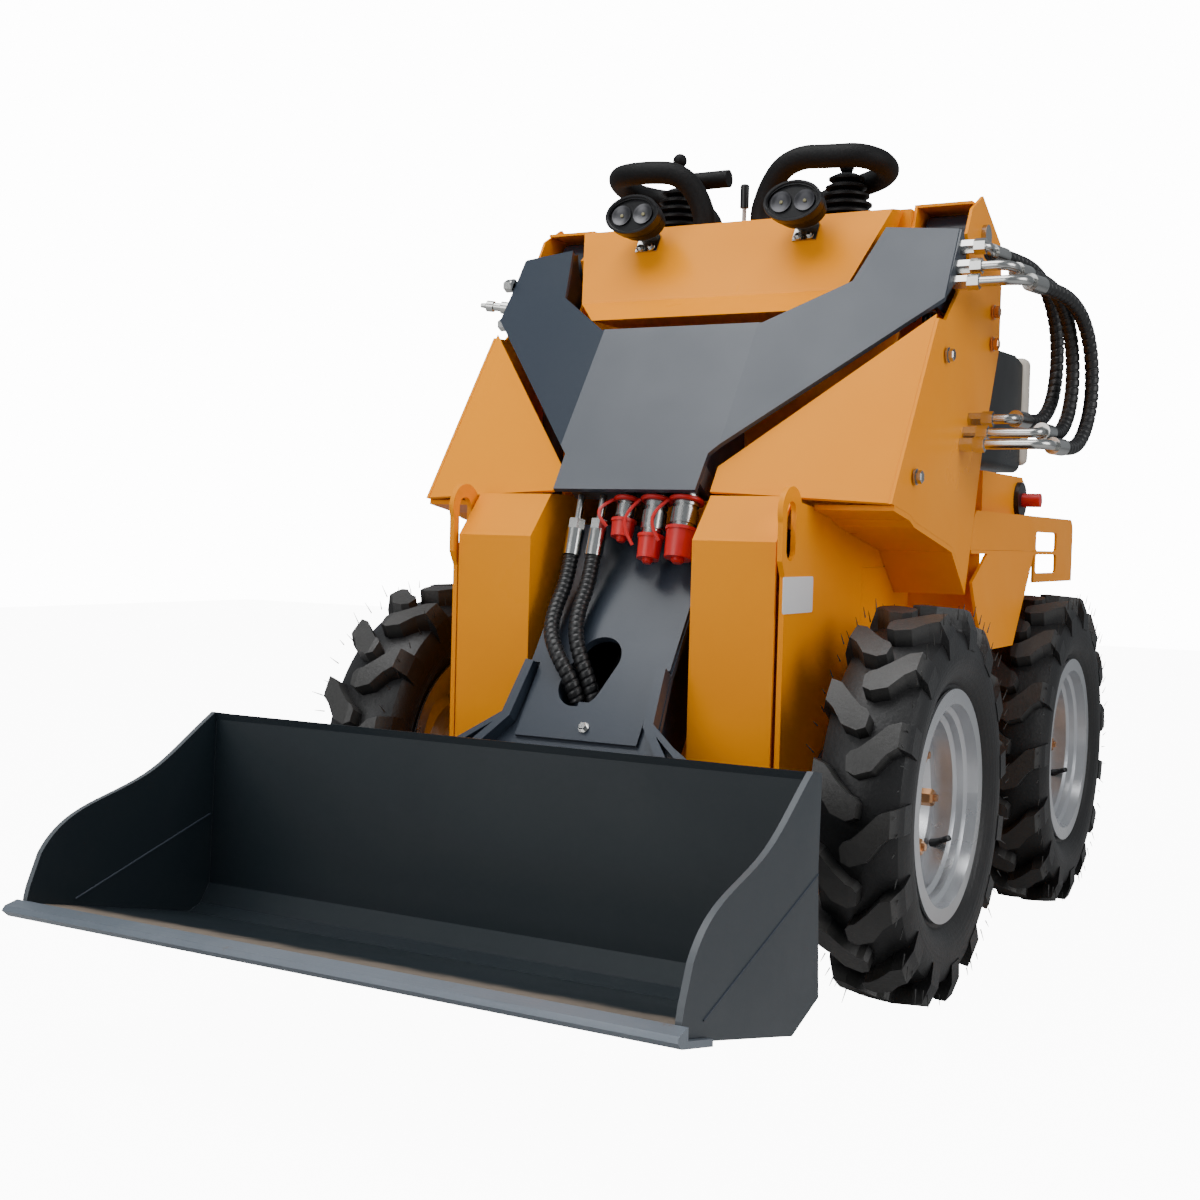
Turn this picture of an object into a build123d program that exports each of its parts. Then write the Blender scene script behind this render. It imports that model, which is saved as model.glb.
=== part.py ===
"""Compact wheeled skid steer loader with a Y-shaped lift arm and a general purpose bucket.

Millimetres. X points to the machine's left, Y to its rear and Z up; the tyres stand on Z = 0.
Side profiles are drawn as (distance behind the front axle, height above the ground).
Arm profiles are drawn along the arm's own slope, as (s, n): s up the slope from the arm's
waist and n out of its front plate.
"""
import os
from math import cos, degrees, hypot, pi, radians, sin, tan

from build123d import *

os.makedirs("parts", exist_ok=True)

# ------------------------------------------------------------------ driving dimensions
FRONT_AXLE_Y = -210.0        # front axle, measured from the middle of the footprint
WHEELBASE = 795.0
TRACK = 846.0                # between the tyres' middle planes
SHEET = 5.0                  # covers and fenders
PLATE = 8.0                  # chassis plates
MOVE_GAP = 6.0               # between parts that move past each other
RUN_FIT = 0.05               # radial play of a pin in its bore
SEAM = 0.4                   # between neighbouring panels

# wheels
TYRE_R = 295.0               # to the tips of the lugs
CARCASS_R = 270.0
TYRE_HALF_WIDTH = 67.0
BEAD_R = 155.0
RIM_FLANGE_R = 173.0
RIM_HALF_WIDTH = 50.0
RIM_SHEET = 4.0
LUGS_PER_SIDE = 15
LUG_LINE = [  # axial and circumferential place and half width of a lug, from its nose outwards
    (-10, -31, 10),
    (-1, -30, 17),
    (15, -24, 18),
    (32, -4, 15),
    (48, 12, 17),
    (74, 18, 20),
]
DISC_OFFSET = -24.5          # of the wheel disc from the middle plane, outwards positive
DISC_SEAT = -14.0            # of the disc's rim where it meets the well
HUB_R = 58.0
SHAFT_R = 20.0

# chassis tub
TUB_HALF_WIDTH = 283.0
TUB_FRONT = 132.0
TUB_REAR = 1085.0
TUB_FLOOR = 140.0
TUB_TOP = 640.0

# legs in front of the tub
LEG_FRONT = -198.0
LEG_INNER = 138.0
LEG_OUTER = 270.0
LEG_CREASE_IN = 677.0
LEG_CREASE_OUT = 644.0
LEG_SHOULDER = (-138.0, 744.0)

# engine
ENGINE_FRONT = 520.0
ENGINE_REAR = 940.0
ENGINE_BED = 560.0
ENGINE_SPLIT = 830.0
ENGINE_TOP = 1060.0

# towers that carry the arm
TOWER_OUTER = 405.0
TOWER_INNER = 304.0
PIVOT = (335.0, 1193.0)
PIVOT_PIN_R = 19.0

# lift arm
ARM_SLOPE = 56.0             # of the front plate, from the horizontal
WAIST = (-122.0, 808.0)
WING_FOLD = 138.0
WING_SLOPE = 0.22
ARM_PLATE = 8.0
LOWER_FACE = -100.0          # n of the lower arm's front plate
HITCH_PIN = (-665.0, -200.0)  # (s, n)
HITCH_PIN_R = 18.0


def side(x):
    """Plane of a side profile at the given X; local axes are rearwards and up."""
    return Plane(origin=(x, FRONT_AXLE_Y, 0), x_dir=(0, 1, 0), z_dir=(1, 0, 0))


def on_arm(s, n):
    """Side profile point of the arm coordinates (s, n)."""
    up = radians(ARM_SLOPE)
    return (WAIST[0] + s * cos(up) - n * sin(up), WAIST[1] + s * sin(up) + n * cos(up))


ARM_FRONT = Plane(
    origin=(0, FRONT_AXLE_Y + WAIST[0], WAIST[1]),
    x_dir=(1, 0, 0),
    z_dir=(0, -sin(radians(ARM_SLOPE)), cos(radians(ARM_SLOPE))),
)


def finish(block, label):
    """Label a finished piece and write its STEP file."""
    block.part.label = label
    export_step(block.part, f"parts/{label}.step")


def polygon(points):
    """Closed outline through the points, as a face of the sketch in work."""
    return Polygon(*points, align=None)


def bent_tube(route, radius):
    """Round bar or hose along a route of straight runs joined by the largest tangent arcs they allow."""
    points = [Vector(*p) for p in route]
    bends = []
    for before, at, after in zip(points, points[1:], points[2:]):
        turn = (at - before).get_angle(after - at)
        run = min((at - before).length, (after - at).length)
        bends.append(0.45 * run / tan(radians(turn / 2)))
    print("bend radii", [round(b) for b in bends], "for a diameter of", 2 * radius)
    with BuildPart() as tube:
        with BuildLine():
            path = FilletPolyline(*points, radius=bends)
        with BuildSketch(Plane(origin=path @ 0, z_dir=path % 0)):
            Circle(radius)
        sweep(path=path)
    print("volume over section times length", round(tube.part.volume / (pi * radius**2 * path.length), 4))
    return tube.part


def placed(point):
    """Point in the machine's frame of one given by its distance behind the front axle."""
    return (point[0], FRONT_AXLE_Y + point[1], point[2])


# ------------------------------------------------------------------ wheels
FRONT_AXLE = (0.0, TYRE_R)
REAR_AXLE = (WHEELBASE, TYRE_R)
WHEELS = [  # name, side (+1 left), distance behind the front axle
    ("front_left", 1, 0.0),
    ("front_right", -1, 0.0),
    ("rear_left", 1, WHEELBASE),
    ("rear_right", -1, WHEELBASE),
]

# Section in (radius, axial) of the carcass: bead, flank, shoulder and crown.
with BuildPart() as carcass:
    with BuildSketch(Plane.XY):
        with BuildLine():
            Line((-RIM_HALF_WIDTH + 2, BEAD_R), (RIM_HALF_WIDTH - 2, BEAD_R))
            Line((RIM_HALF_WIDTH - 2, BEAD_R), (RIM_HALF_WIDTH - 2, RIM_FLANGE_R + 6))
            ThreePointArc(
                (RIM_HALF_WIDTH - 2, RIM_FLANGE_R + 6),
                (TYRE_HALF_WIDTH, 0.5 * (RIM_FLANGE_R + CARCASS_R) + 2),
                (TYRE_HALF_WIDTH - 9, CARCASS_R - 14),
            )
            ThreePointArc(
                (TYRE_HALF_WIDTH - 9, CARCASS_R - 14), (0, CARCASS_R), (9 - TYRE_HALF_WIDTH, CARCASS_R - 14)
            )
            ThreePointArc(
                (9 - TYRE_HALF_WIDTH, CARCASS_R - 14),
                (-TYRE_HALF_WIDTH, 0.5 * (RIM_FLANGE_R + CARCASS_R) + 2),
                (2 - RIM_HALF_WIDTH, RIM_FLANGE_R + 6),
            )
            Line((2 - RIM_HALF_WIDTH, RIM_FLANGE_R + 6), (2 - RIM_HALF_WIDTH, BEAD_R))
        make_face()
    revolve(axis=Axis.X)

LUG_PITCH = 360.0 / LUGS_PER_SIDE
NOSE_LEAD = -degrees(LUG_LINE[1][1] / TYRE_R)   # turns a lug's nose on to the ground


def lug_outline(hand):
    """Outline of one lug about its curved middle line; hand is +1 for the outer row."""
    ahead, astern = [], []
    for i, (axial, along, half) in enumerate(LUG_LINE):
        before = LUG_LINE[max(i - 1, 0)]
        after = LUG_LINE[min(i + 1, len(LUG_LINE) - 1)]
        run = hypot(after[0] - before[0], after[1] - before[1])
        across = (-(after[1] - before[1]) / run * half, (after[0] - before[0]) / run * half)
        ahead.append((hand * (axial + across[0]), along + across[1]))
        astern.append((hand * (axial - across[0]), along - across[1]))
    return ahead + astern[::-1]


# Curved lugs, alternating left and right, trimmed to the tread's outer envelope.
with BuildPart() as lugs:
    for hand, phase in ((1, 0.0), (-1, 0.5)):
        for i in range(LUGS_PER_SIDE):
            turn = Rotation((i + phase) * LUG_PITCH - NOSE_LEAD, 0, 0)
            place = Plane(turn * Location((0, 0, CARCASS_R - 40)))
            with BuildSketch(place):
                polygon(lug_outline(hand))
            extrude(amount=80)
    with BuildSketch(Plane.XY):
        polygon(
            [
                (-TYRE_HALF_WIDTH - 1, CARCASS_R - 38),
                (-TYRE_HALF_WIDTH - 1, CARCASS_R - 8),
                (10 - TYRE_HALF_WIDTH, TYRE_R - 4),
                (0, TYRE_R),
                (TYRE_HALF_WIDTH - 10, TYRE_R - 4),
                (TYRE_HALF_WIDTH + 1, CARCASS_R - 8),
                (TYRE_HALF_WIDTH + 1, CARCASS_R - 38),
            ]
        )
    revolve(axis=Axis.X, mode=Mode.INTERSECT)

with BuildPart() as tyre_master:
    add(carcass.part)
    add(lugs.part)

# Rim: a rolled band that steps down to its well, with a dished disc and its hub.
RIM_WELL = [  # axial share of the rim's half width and depth below the bead seat
    (0.76, 3),
    (0.68, 11),
    (0.48, 13),
    (0.40, 22),
    (-0.35, 22),
    (-0.55, 4),
]
BEAD_SEAT = BEAD_R - SEAM
WELL_R = BEAD_SEAT - 22
rim_skin = [(share * RIM_HALF_WIDTH, BEAD_SEAT - depth) for share, depth in RIM_WELL]
with BuildPart() as rim_master:
    with BuildSketch(Plane.XY):
        polygon(
            [
                (RIM_HALF_WIDTH + RIM_SHEET, RIM_FLANGE_R),
                (RIM_HALF_WIDTH, RIM_FLANGE_R),
                (RIM_HALF_WIDTH, BEAD_SEAT),
                *rim_skin,
                (-RIM_HALF_WIDTH, BEAD_SEAT),
                (-RIM_HALF_WIDTH, RIM_FLANGE_R),
                (-RIM_HALF_WIDTH - RIM_SHEET, RIM_FLANGE_R),
                (-RIM_HALF_WIDTH - RIM_SHEET, BEAD_SEAT - RIM_SHEET),
                *[(axial, radius - RIM_SHEET) for axial, radius in reversed(rim_skin)],
                (RIM_HALF_WIDTH + RIM_SHEET, BEAD_SEAT - RIM_SHEET),
            ]
        )
        polygon(
            [
                (DISC_OFFSET, SHAFT_R + RUN_FIT),
                (DISC_OFFSET, 92),
                (DISC_SEAT, 106),
                (DISC_SEAT, WELL_R - 2),
                (DISC_SEAT + 6, WELL_R - 2),
                (DISC_SEAT + 6, 106),
                (DISC_OFFSET + 6, 92),
                (DISC_OFFSET + 6, 34),
                (DISC_OFFSET + 24, 34),
                (DISC_OFFSET + 24, 0),
                (DISC_OFFSET + 16, 0),
                (DISC_OFFSET + 16, SHAFT_R + RUN_FIT),
            ]
        )
        polygon(
            [
                (DISC_OFFSET - 34, SHAFT_R + RUN_FIT),
                (DISC_OFFSET - 34, HUB_R),
                (DISC_OFFSET, HUB_R),
                (DISC_OFFSET, SHAFT_R + RUN_FIT),
            ]
        )
    revolve(axis=Axis.X)

for name, hand, behind in WHEELS:
    centre = Location((hand * TRACK / 2, FRONT_AXLE_Y + behind, TYRE_R))
    tyre_solid = tyre_master.part if hand > 0 else mirror(tyre_master.part, about=Plane.YZ)
    rim_solid = rim_master.part if hand > 0 else mirror(rim_master.part, about=Plane.YZ)
    with BuildPart() as tyre:
        add(tyre_solid.moved(centre))
    finish(tyre, f"tyre_{name}")
    with BuildPart() as rim:
        add(rim_solid.moved(centre))
    finish(rim, f"wheel_{name}")

# Hydraulic wheel motors, bolted to the tub's walls, with the shafts that carry the wheels.
HUB_BACK = TRACK / 2 + DISC_OFFSET - 34
SHAFT_END = TRACK / 2 + DISC_OFFSET + 12
with BuildPart() as wheel_motors:
    for axle in (FRONT_AXLE, REAR_AXLE):
        with BuildSketch(side(TUB_HALF_WIDTH)):
            with Locations(axle):
                Circle(72)
        extrude(amount=14)
        with BuildSketch(side(TUB_HALF_WIDTH)):
            with Locations(axle):
                Circle(50)
        extrude(amount=HUB_BACK - MOVE_GAP - TUB_HALF_WIDTH)
        with BuildSketch(side(TUB_HALF_WIDTH)):
            with Locations(axle):
                Circle(SHAFT_R)
        extrude(amount=SHAFT_END - TUB_HALF_WIDTH)
    mirror(about=Plane.YZ)
finish(wheel_motors, "wheel_motors")

# ------------------------------------------------------------------ chassis
with BuildPart() as tub:
    with BuildSketch(side(-TUB_HALF_WIDTH)):
        polygon(
            [
                (TUB_FRONT, TUB_FLOOR),
                (TUB_REAR - 60, TUB_FLOOR),
                (TUB_REAR, TUB_FLOOR + 110),
                (TUB_REAR, TUB_TOP),
                (TUB_FRONT, TUB_TOP),
            ]
        )
    extrude(amount=2 * TUB_HALF_WIDTH)
    with BuildSketch(side(PLATE - TUB_HALF_WIDTH)):
        polygon(
            [
                (TUB_FRONT + PLATE, TUB_FLOOR + PLATE),
                (TUB_REAR - 60 - 0.4 * PLATE, TUB_FLOOR + PLATE),
                (TUB_REAR - PLATE, TUB_FLOOR + 110 + 0.4 * PLATE),
                (TUB_REAR - PLATE, TUB_TOP + 1),
                (TUB_FRONT + PLATE, TUB_TOP + 1),
            ]
        )
    extrude(amount=2 * (TUB_HALF_WIDTH - PLATE), mode=Mode.SUBTRACT)
    # cross plate that carries the engine
    with BuildSketch(Plane.XY.offset(ENGINE_BED - PLATE)):
        with Locations((0, FRONT_AXLE_Y + (ENGINE_FRONT + ENGINE_REAR) / 2)):
            Rectangle(2 * TUB_HALF_WIDTH - PLATE, ENGINE_REAR - ENGINE_FRONT)
    extrude(amount=PLATE)
finish(tub, "chassis_tub")

# Side plates in front of the tub, with the lifting eyes that stand out of them.
EYE_TOP = 757.0
with BuildPart() as side_plates:
    with BuildSketch(side(TUB_HALF_WIDTH - PLATE)):
        with BuildLine():
            Polyline(
                (TUB_FRONT - SEAM, TUB_FLOOR),
                (LEG_FRONT + 4, TUB_FLOOR),
                (LEG_FRONT + 4, 628),
                (LEG_FRONT - 8, 650),
                (LEG_FRONT - 8, 705),
            )
            ThreePointArc((LEG_FRONT - 8, 705), (LEG_FRONT + 22, EYE_TOP), (LEG_FRONT + 62, 735))
            Polyline(
                (LEG_FRONT + 62, 735),
                (-15, 722),
                (10, 712),
                (208, 676),
                (238, 650),
                (238, TUB_TOP + SEAM),
                (TUB_FRONT - SEAM, TUB_TOP + SEAM),
                (TUB_FRONT - SEAM, TUB_FLOOR),
            )
        make_face()
        with Locations((LEG_FRONT + 24, 693)):
            SlotOverall(86, 34, rotation=90, mode=Mode.SUBTRACT)
    extrude(amount=PLATE)
    mirror(about=Plane.YZ)
finish(side_plates, "side_plates")

# Folded leg covers: front face, inner face and the slanted shoulder above the crease.
with BuildPart() as legs:
    with BuildSketch(side(LEG_INNER)):
        polygon(
            [
                (TUB_FRONT - SEAM, TUB_FLOOR),
                (LEG_FRONT, TUB_FLOOR),
                (LEG_FRONT, LEG_CREASE_IN),
                LEG_SHOULDER,
                (TUB_FRONT - SEAM, LEG_SHOULDER[1]),
            ]
        )
    extrude(amount=LEG_OUTER - LEG_INNER)
    with BuildSketch(side(LEG_INNER + SHEET)):
        polygon(
            [
                (TUB_FRONT + 1, TUB_FLOOR - 1),
                (LEG_FRONT + SHEET, TUB_FLOOR - 1),
                (LEG_FRONT + SHEET, LEG_CREASE_IN - 2),
                (LEG_SHOULDER[0] + SHEET, LEG_SHOULDER[1] - 4),
                (LEG_SHOULDER[0] + SHEET, LEG_SHOULDER[1] + 1),
                (TUB_FRONT + 1, LEG_SHOULDER[1] + 1),
            ]
        )
    extrude(amount=LEG_OUTER, mode=Mode.SUBTRACT)
    mirror(about=Plane.YZ)
finish(legs, "leg_covers")


def bent_plate(section, outline, thick, depth=140.0):
    """Folded plate seen square to the arm's slope.

    section runs across the machine as (x, n) on the plate's front; outline is (x, s).
    """
    back = [(x, n - thick) for x, n in reversed(section)]
    with BuildPart() as plate:
        with BuildSketch(ARM_FRONT):
            polygon(outline)
        extrude(amount=depth, both=True)
        lowest = min(s for _, s in outline) - 1
        highest = max(s for _, s in outline) + 1
        across = Plane(
            origin=ARM_FRONT.origin + ARM_FRONT.y_dir * lowest,
            x_dir=(1, 0, 0),
            z_dir=-ARM_FRONT.y_dir,
        )
        with BuildSketch(across):
            polygon([(x, n) for x, n in section + back])
        extrude(amount=-(highest - lowest), mode=Mode.INTERSECT)
    return plate.part


# Slanted covers beside the arm, parallel to its wings.
COVER_GAP = 15.0
WING_RISE = (345.0, 282.0)    # of the wing's lower edge: along s and across
edge_length = hypot(*WING_RISE)
COVER_SHIFT = (COVER_GAP * WING_RISE[0] / edge_length, -COVER_GAP * WING_RISE[1] / edge_length)
COVER_OUT = TOWER_OUTER - SHEET - SEAM
COVER_IN = 124.0 + COVER_SHIFT[0]
COVER_TOP = COVER_SHIFT[1] + (COVER_OUT - COVER_IN) * WING_RISE[0] / WING_RISE[1]
COVER_NEAR = -20.0           # n at the inner edge
COVER_SLOPE = 0.155
cover_section = [(COVER_IN - 5, COVER_NEAR), (COVER_OUT + 5, COVER_NEAR - COVER_SLOPE * (COVER_OUT - COVER_IN))]
cover_outline = [
    (COVER_IN, -56),
    (COVER_OUT, -45),
    (COVER_OUT, COVER_TOP),
    (COVER_IN, COVER_SHIFT[1]),
]
cover_plate = bent_plate(cover_section, cover_outline, SHEET)
with BuildPart() as covers:
    add(cover_plate)
    mirror(about=Plane.YZ)
finish(covers, "slanted_covers")

TOWER_HEEL = (368.0, 836.0)
ARCH_LINE = [(11.0, 713.0), (210.0, 676.5), (297.0, 612.0)]   # lower edge of a tower, over the front wheel
# Tower housings: outer plate, inner plate, back and roof around each arm root.
with BuildPart() as towers:
    with BuildSketch(side(TOWER_OUTER - SHEET)):
        with BuildLine():
            Polyline(
                (-99, 736),
                (98, 1027),
                (134, 1028),
                (257, 1130),
                (236, 1180),
                (262, 1225),
                (322, 1257),
                (441, 1199),
                (456, 1130),
                (456, 1023),
                TOWER_HEEL,
                *reversed(ARCH_LINE),
                (-13, 723),
                (-99, 736),
            )
        make_face()
    extrude(amount=SHEET)
    with BuildSketch(side(TOWER_INNER)):
        polygon(
            [
                (262, 1203),
                (275, 1241),
                (349, 1241),
                (441, 1199),
                (456, 1130),
                (456, 1023),
                TOWER_HEEL,
                (330, 700),
                (190, 700),
                (190, 1000),
                (257, 1130),
                (236, 1180),
            ]
        )
    extrude(amount=SHEET)
    with BuildSketch(side(TOWER_INNER)):
        polygon(
            [
                (275, 1241),
                (349, 1241),
                (441, 1199),
                (456, 1130),
                (456, 1023),
                TOWER_HEEL,
                (330, 700),
                (325, 702),
                (363, 838),
                (451, 1024),
                (451, 1130),
                (437, 1195),
                (348, 1236),
                (275, 1236),
            ]
        )
    extrude(amount=TOWER_OUTER - TOWER_INNER - SHEET)
    mirror(about=Plane.YZ)
finish(towers, "arm_towers")

# Pins through the tower plates, heads outside; the arm's root bosses turn on them.
with BuildPart() as pivot_pins:
    with BuildSketch(side(TOWER_INNER)):
        with Locations(PIVOT):
            Circle(PIVOT_PIN_R)
    extrude(amount=TOWER_OUTER + 8 - TOWER_INNER)
    mirror(about=Plane.YZ)
with BuildPart() as towers_bored:
    add(towers.part)
    add(pivot_pins.part, mode=Mode.SUBTRACT)
finish(towers_bored, "arm_towers")
finish(pivot_pins, "pivot_pins")

# ------------------------------------------------------------------ fenders
FENDER_IN = TUB_HALF_WIDTH + SEAM
GUARD_FRONT = 762.0
LEDGE_FRONT = 322.0
WEDGE_FRONT = 303.0
LEDGE_TOP = 672.0
FENDER_OUT = TOWER_OUTER - SHEET - SEAM
with BuildPart() as fenders:
    # arch over the front wheel, from the leg back to the ledge
    with BuildSketch(side(FENDER_IN)):
        polygon(
            [
                (292, 598),
                (208, 668),
                (10, 704),
                (-15, 714),
                (-88, 726),
                (-87, 733.8),
                (-13, 722.6),
                *[(y, z - SEAM) for y, z in ARCH_LINE],
            ]
        )
    extrude(amount=TOWER_OUTER - FENDER_IN)
    # ledge between the tower and the rear guard
    with BuildSketch(side(FENDER_IN)):
        polygon(
            [
                (LEDGE_FRONT, LEDGE_TOP),
                (GUARD_FRONT - SEAM, LEDGE_TOP),
                (GUARD_FRONT - SEAM, LEDGE_TOP - SHEET),
                (LEDGE_FRONT, LEDGE_TOP - SHEET),
            ]
        )
    extrude(amount=TOWER_OUTER - FENDER_IN)
    with BuildSketch(side(FENDER_IN)):
        polygon(
            [
                (LEDGE_FRONT, LEDGE_TOP),
                (TUB_REAR, LEDGE_TOP),
                (TUB_REAR, LEDGE_TOP - SHEET),
                (LEDGE_FRONT, LEDGE_TOP - SHEET),
            ]
        )
    extrude(amount=FENDER_OUT - FENDER_IN)
    # wedge between the wheels, leaning outwards to its foot
    with BuildSketch(Plane(origin=(0, FRONT_AXLE_Y, 0), x_dir=(1, 0, 0), z_dir=(0, 1, 0)).offset(WEDGE_FRONT)):
        polygon([(TOWER_OUTER, -672), (430, -505), (425, -505), (TOWER_OUTER - SHEET, -671)])
    extrude(amount=GUARD_FRONT - SEAM - WEDGE_FRONT)
    with BuildSketch(side(FENDER_IN)):
        polygon([(427, 668), (305, 618), (312, 560), (330, 505), (520, 505), (759, 668)])
        polygon([(-120, 590), (300, 590), (300, 740), (-120, 740)])
        polygon([(LEDGE_FRONT, 666), (TUB_REAR, 666), (TUB_REAR, 673), (LEDGE_FRONT, 673)])
    extrude(amount=200, mode=Mode.INTERSECT)
    # web that carries the wedge's front edge from the tub
    with BuildSketch(side(FENDER_IN)):
        polygon([(372, 672), (377, 672), (377, 560), (372, 560)])
    extrude(amount=TOWER_OUTER - FENDER_IN)
    mirror(about=Plane.YZ)
finish(fenders, "fenders")

# ------------------------------------------------------------------ hood and console
HOOD_TOP = (211.0, 1224.0)
HOOD_CREASE = (125.0, 1083.0)
HOOD_FOOT = (52.0, 1042.0)
CONSOLE_TOP = 1232.0
CONSOLE_REAR = 456.0
CONSOLE_FOOT = 700.0
CABIN_HALF_WIDTH = TOWER_INNER - SEAM
with BuildPart() as console:
    with BuildSketch(side(-288)):
        polygon([HOOD_FOOT, HOOD_CREASE, HOOD_TOP, (262, CONSOLE_TOP), (262, 1042)])
    extrude(amount=2 * 288)
    with BuildSketch(Plane(origin=(0, FRONT_AXLE_Y, 0), x_dir=(1, 0, 0), z_dir=(0, -1, 0)).offset(-600)):
        polygon(
            [
                (-178, 1041),
                (-241, 1083),
                (-288, 1224),
                (-288, 1240),
                (288, 1240),
                (288, 1224),
                (241, 1083),
                (178, 1041),
            ]
        )
    extrude(amount=800, mode=Mode.INTERSECT)
    with BuildSketch(side(-CABIN_HALF_WIDTH)):
        polygon(
            [
                (258, CONSOLE_FOOT),
                (258, CONSOLE_TOP),
                (CONSOLE_REAR - 8, CONSOLE_TOP),
                (CONSOLE_REAR, CONSOLE_TOP - 8),
                (CONSOLE_REAR, CONSOLE_FOOT),
            ]
        )
    extrude(amount=2 * CABIN_HALF_WIDTH)
    with BuildSketch(side(SHEET - CABIN_HALF_WIDTH)):
        polygon(
            [
                (258 + SHEET, CONSOLE_FOOT - 1),
                (258 + SHEET, CONSOLE_TOP - SHEET),
                (CONSOLE_REAR - SHEET, CONSOLE_TOP - SHEET),
                (CONSOLE_REAR - SHEET, CONSOLE_FOOT - 1),
            ]
        )
    extrude(amount=2 * (CABIN_HALF_WIDTH - SHEET), mode=Mode.SUBTRACT)
finish(console, "hood_console")

# Reference bars: each rises from the console, loops round a drive lever and comes back down.
BAR_R = 20.0
BAR_ROUTES = [  # X, distance behind the front axle and height, from the inner foot round to the outer
    [
        (23, 290, CONSOLE_TOP),
        (23, 290, 1256),
        (40, 284, 1296),
        (68, 272, 1325),
        (106, 264, 1336),
        (158, 262, 1332),
        (206, 265, 1331),
        (234, 292, 1325),
        (235, 342, 1320),
        (206, 392, 1319),
        (150, 424, 1314),
        (95, 430, 1300),
        (58, 427, 1270),
        (58, 427, CONSOLE_TOP),
    ],
    [
        (-88, 290, CONSOLE_TOP),
        (-88, 290, 1256),
        (-98, 286, 1286),
        (-116, 275, 1316),
        (-142, 266, 1331),
        (-184, 263, 1335),
        (-228, 269, 1337),
        (-264, 292, 1339),
        (-284, 334, 1338),
        (-286, 380, 1331),
        (-264, 424, 1326),
        (-214, 440, 1318),
        (-165, 440, 1300),
        (-137, 435, 1268),
        (-137, 435, CONSOLE_TOP),
    ],
]
with BuildPart() as bars:
    for bar_route in BAR_ROUTES:
        add(bent_tube([placed(point) for point in bar_route], BAR_R))
finish(bars, "reference_bars")

# Rubber bellows under the two drive levers.
LEVERS = [(150.0, 1337.0), (-176.0, 1377.0)]   # X and height of the lever's head, left and right
LEVER_BEHIND = 364.0
BELLOWS_BASE_R = 56.0
BELLOWS_TIP_R = 26.0
BELLOWS_HEIGHT = 92.0
BELLOWS_FOLDS = 6
fold = BELLOWS_HEIGHT / BELLOWS_FOLDS
bellows_edge = []
for i in range(BELLOWS_FOLDS):
    ridge = BELLOWS_BASE_R + (BELLOWS_TIP_R - BELLOWS_BASE_R) * i / BELLOWS_FOLDS
    bellows_edge += [(ridge - 9, i * fold), (ridge, (i + 0.3) * fold), (ridge, (i + 0.55) * fold)]
bellows_edge += [(BELLOWS_TIP_R - 9, BELLOWS_HEIGHT), (0, BELLOWS_HEIGHT), (0, 0)]
with BuildPart() as bellows:
    for x, _ in LEVERS:
        stem = Plane(origin=(x, FRONT_AXLE_Y + LEVER_BEHIND, CONSOLE_TOP), x_dir=(1, 0, 0), z_dir=(0, -1, 0))
        with BuildSketch(stem):
            polygon(bellows_edge)
        revolve(axis=Axis((x, FRONT_AXLE_Y + LEVER_BEHIND, 0), (0, 0, 1)))
finish(bellows, "lever_bellows")

# Drive levers above the bellows; the right one carries a cross grip as well.
LEVER_FOOT = CONSOLE_TOP + BELLOWS_HEIGHT
CROSS_GRIP = (-75.0, 70.0)   # X of its free end, length
with BuildPart() as grips:
    for x, height in LEVERS:
        with Locations((x, FRONT_AXLE_Y + LEVER_BEHIND, LEVER_FOOT)):
            Cylinder(7, height - LEVER_FOOT, align=(Align.CENTER, Align.CENTER, Align.MIN))
        with Locations((x, FRONT_AXLE_Y + LEVER_BEHIND, height)):
            Sphere(13)
    with BuildSketch(Plane.YZ.offset(LEVERS[1][0])):
        with Locations((FRONT_AXLE_Y + LEVER_BEHIND, LEVER_FOOT + 12)):
            Circle(7)
    extrude(amount=CROSS_GRIP[0] - LEVERS[1][0])
    with BuildSketch(Plane.YZ.offset(CROSS_GRIP[0] - CROSS_GRIP[1])):
        with Locations((FRONT_AXLE_Y + LEVER_BEHIND, LEVER_FOOT + 12)):
            Circle(16)
    extrude(amount=CROSS_GRIP[1])
finish(grips, "drive_lever_grips")

with BuildPart() as throttle:
    with Locations((-24, FRONT_AXLE_Y + 320, CONSOLE_TOP)):
        Cylinder(4, 40, align=(Align.CENTER, Align.CENTER, Align.MIN))
    with Locations((-24, FRONT_AXLE_Y + 320, CONSOLE_TOP + 38)):
        Cylinder(8, 42, align=(Align.CENTER, Align.CENTER, Align.MIN))
    fillet(throttle.edges().filter_by(GeomType.CIRCLE).sort_by(Axis.Z)[-1], 4)
finish(throttle, "throttle_lever")

# Two oval work lamps on angle brackets screwed to the hood.
LAMP_AT = (147.0, 146.0, 1231.0)
LAMP_FACE = Plane(
    origin=(LAMP_AT[0], FRONT_AXLE_Y + LAMP_AT[1] - 22, LAMP_AT[2]), x_dir=(1, 0, 0), z_dir=(0, -0.98, 0.2)
)
with BuildPart() as lamps:
    with BuildSketch(LAMP_FACE):
        Ellipse(50, 35)
    with BuildSketch(LAMP_FACE.offset(-16)):
        Ellipse(50, 35)
    with BuildSketch(LAMP_FACE.offset(-46)):
        Ellipse(34, 22)
    loft(ruled=True)
    with BuildSketch(LAMP_FACE):
        Ellipse(43, 28)
    extrude(amount=-4, mode=Mode.SUBTRACT)
    mirror(about=Plane.YZ)
finish(lamps, "work_lamps")

# Angle bracket: a foot flat on the hood's slope and a tab up to the lamp's underside.
HOOD_RUN = hypot(HOOD_TOP[0] - HOOD_CREASE[0], HOOD_TOP[1] - HOOD_CREASE[1])
HOOD_OUT = (-(HOOD_TOP[1] - HOOD_CREASE[1]) / HOOD_RUN, (HOOD_TOP[0] - HOOD_CREASE[0]) / HOOD_RUN)


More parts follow.
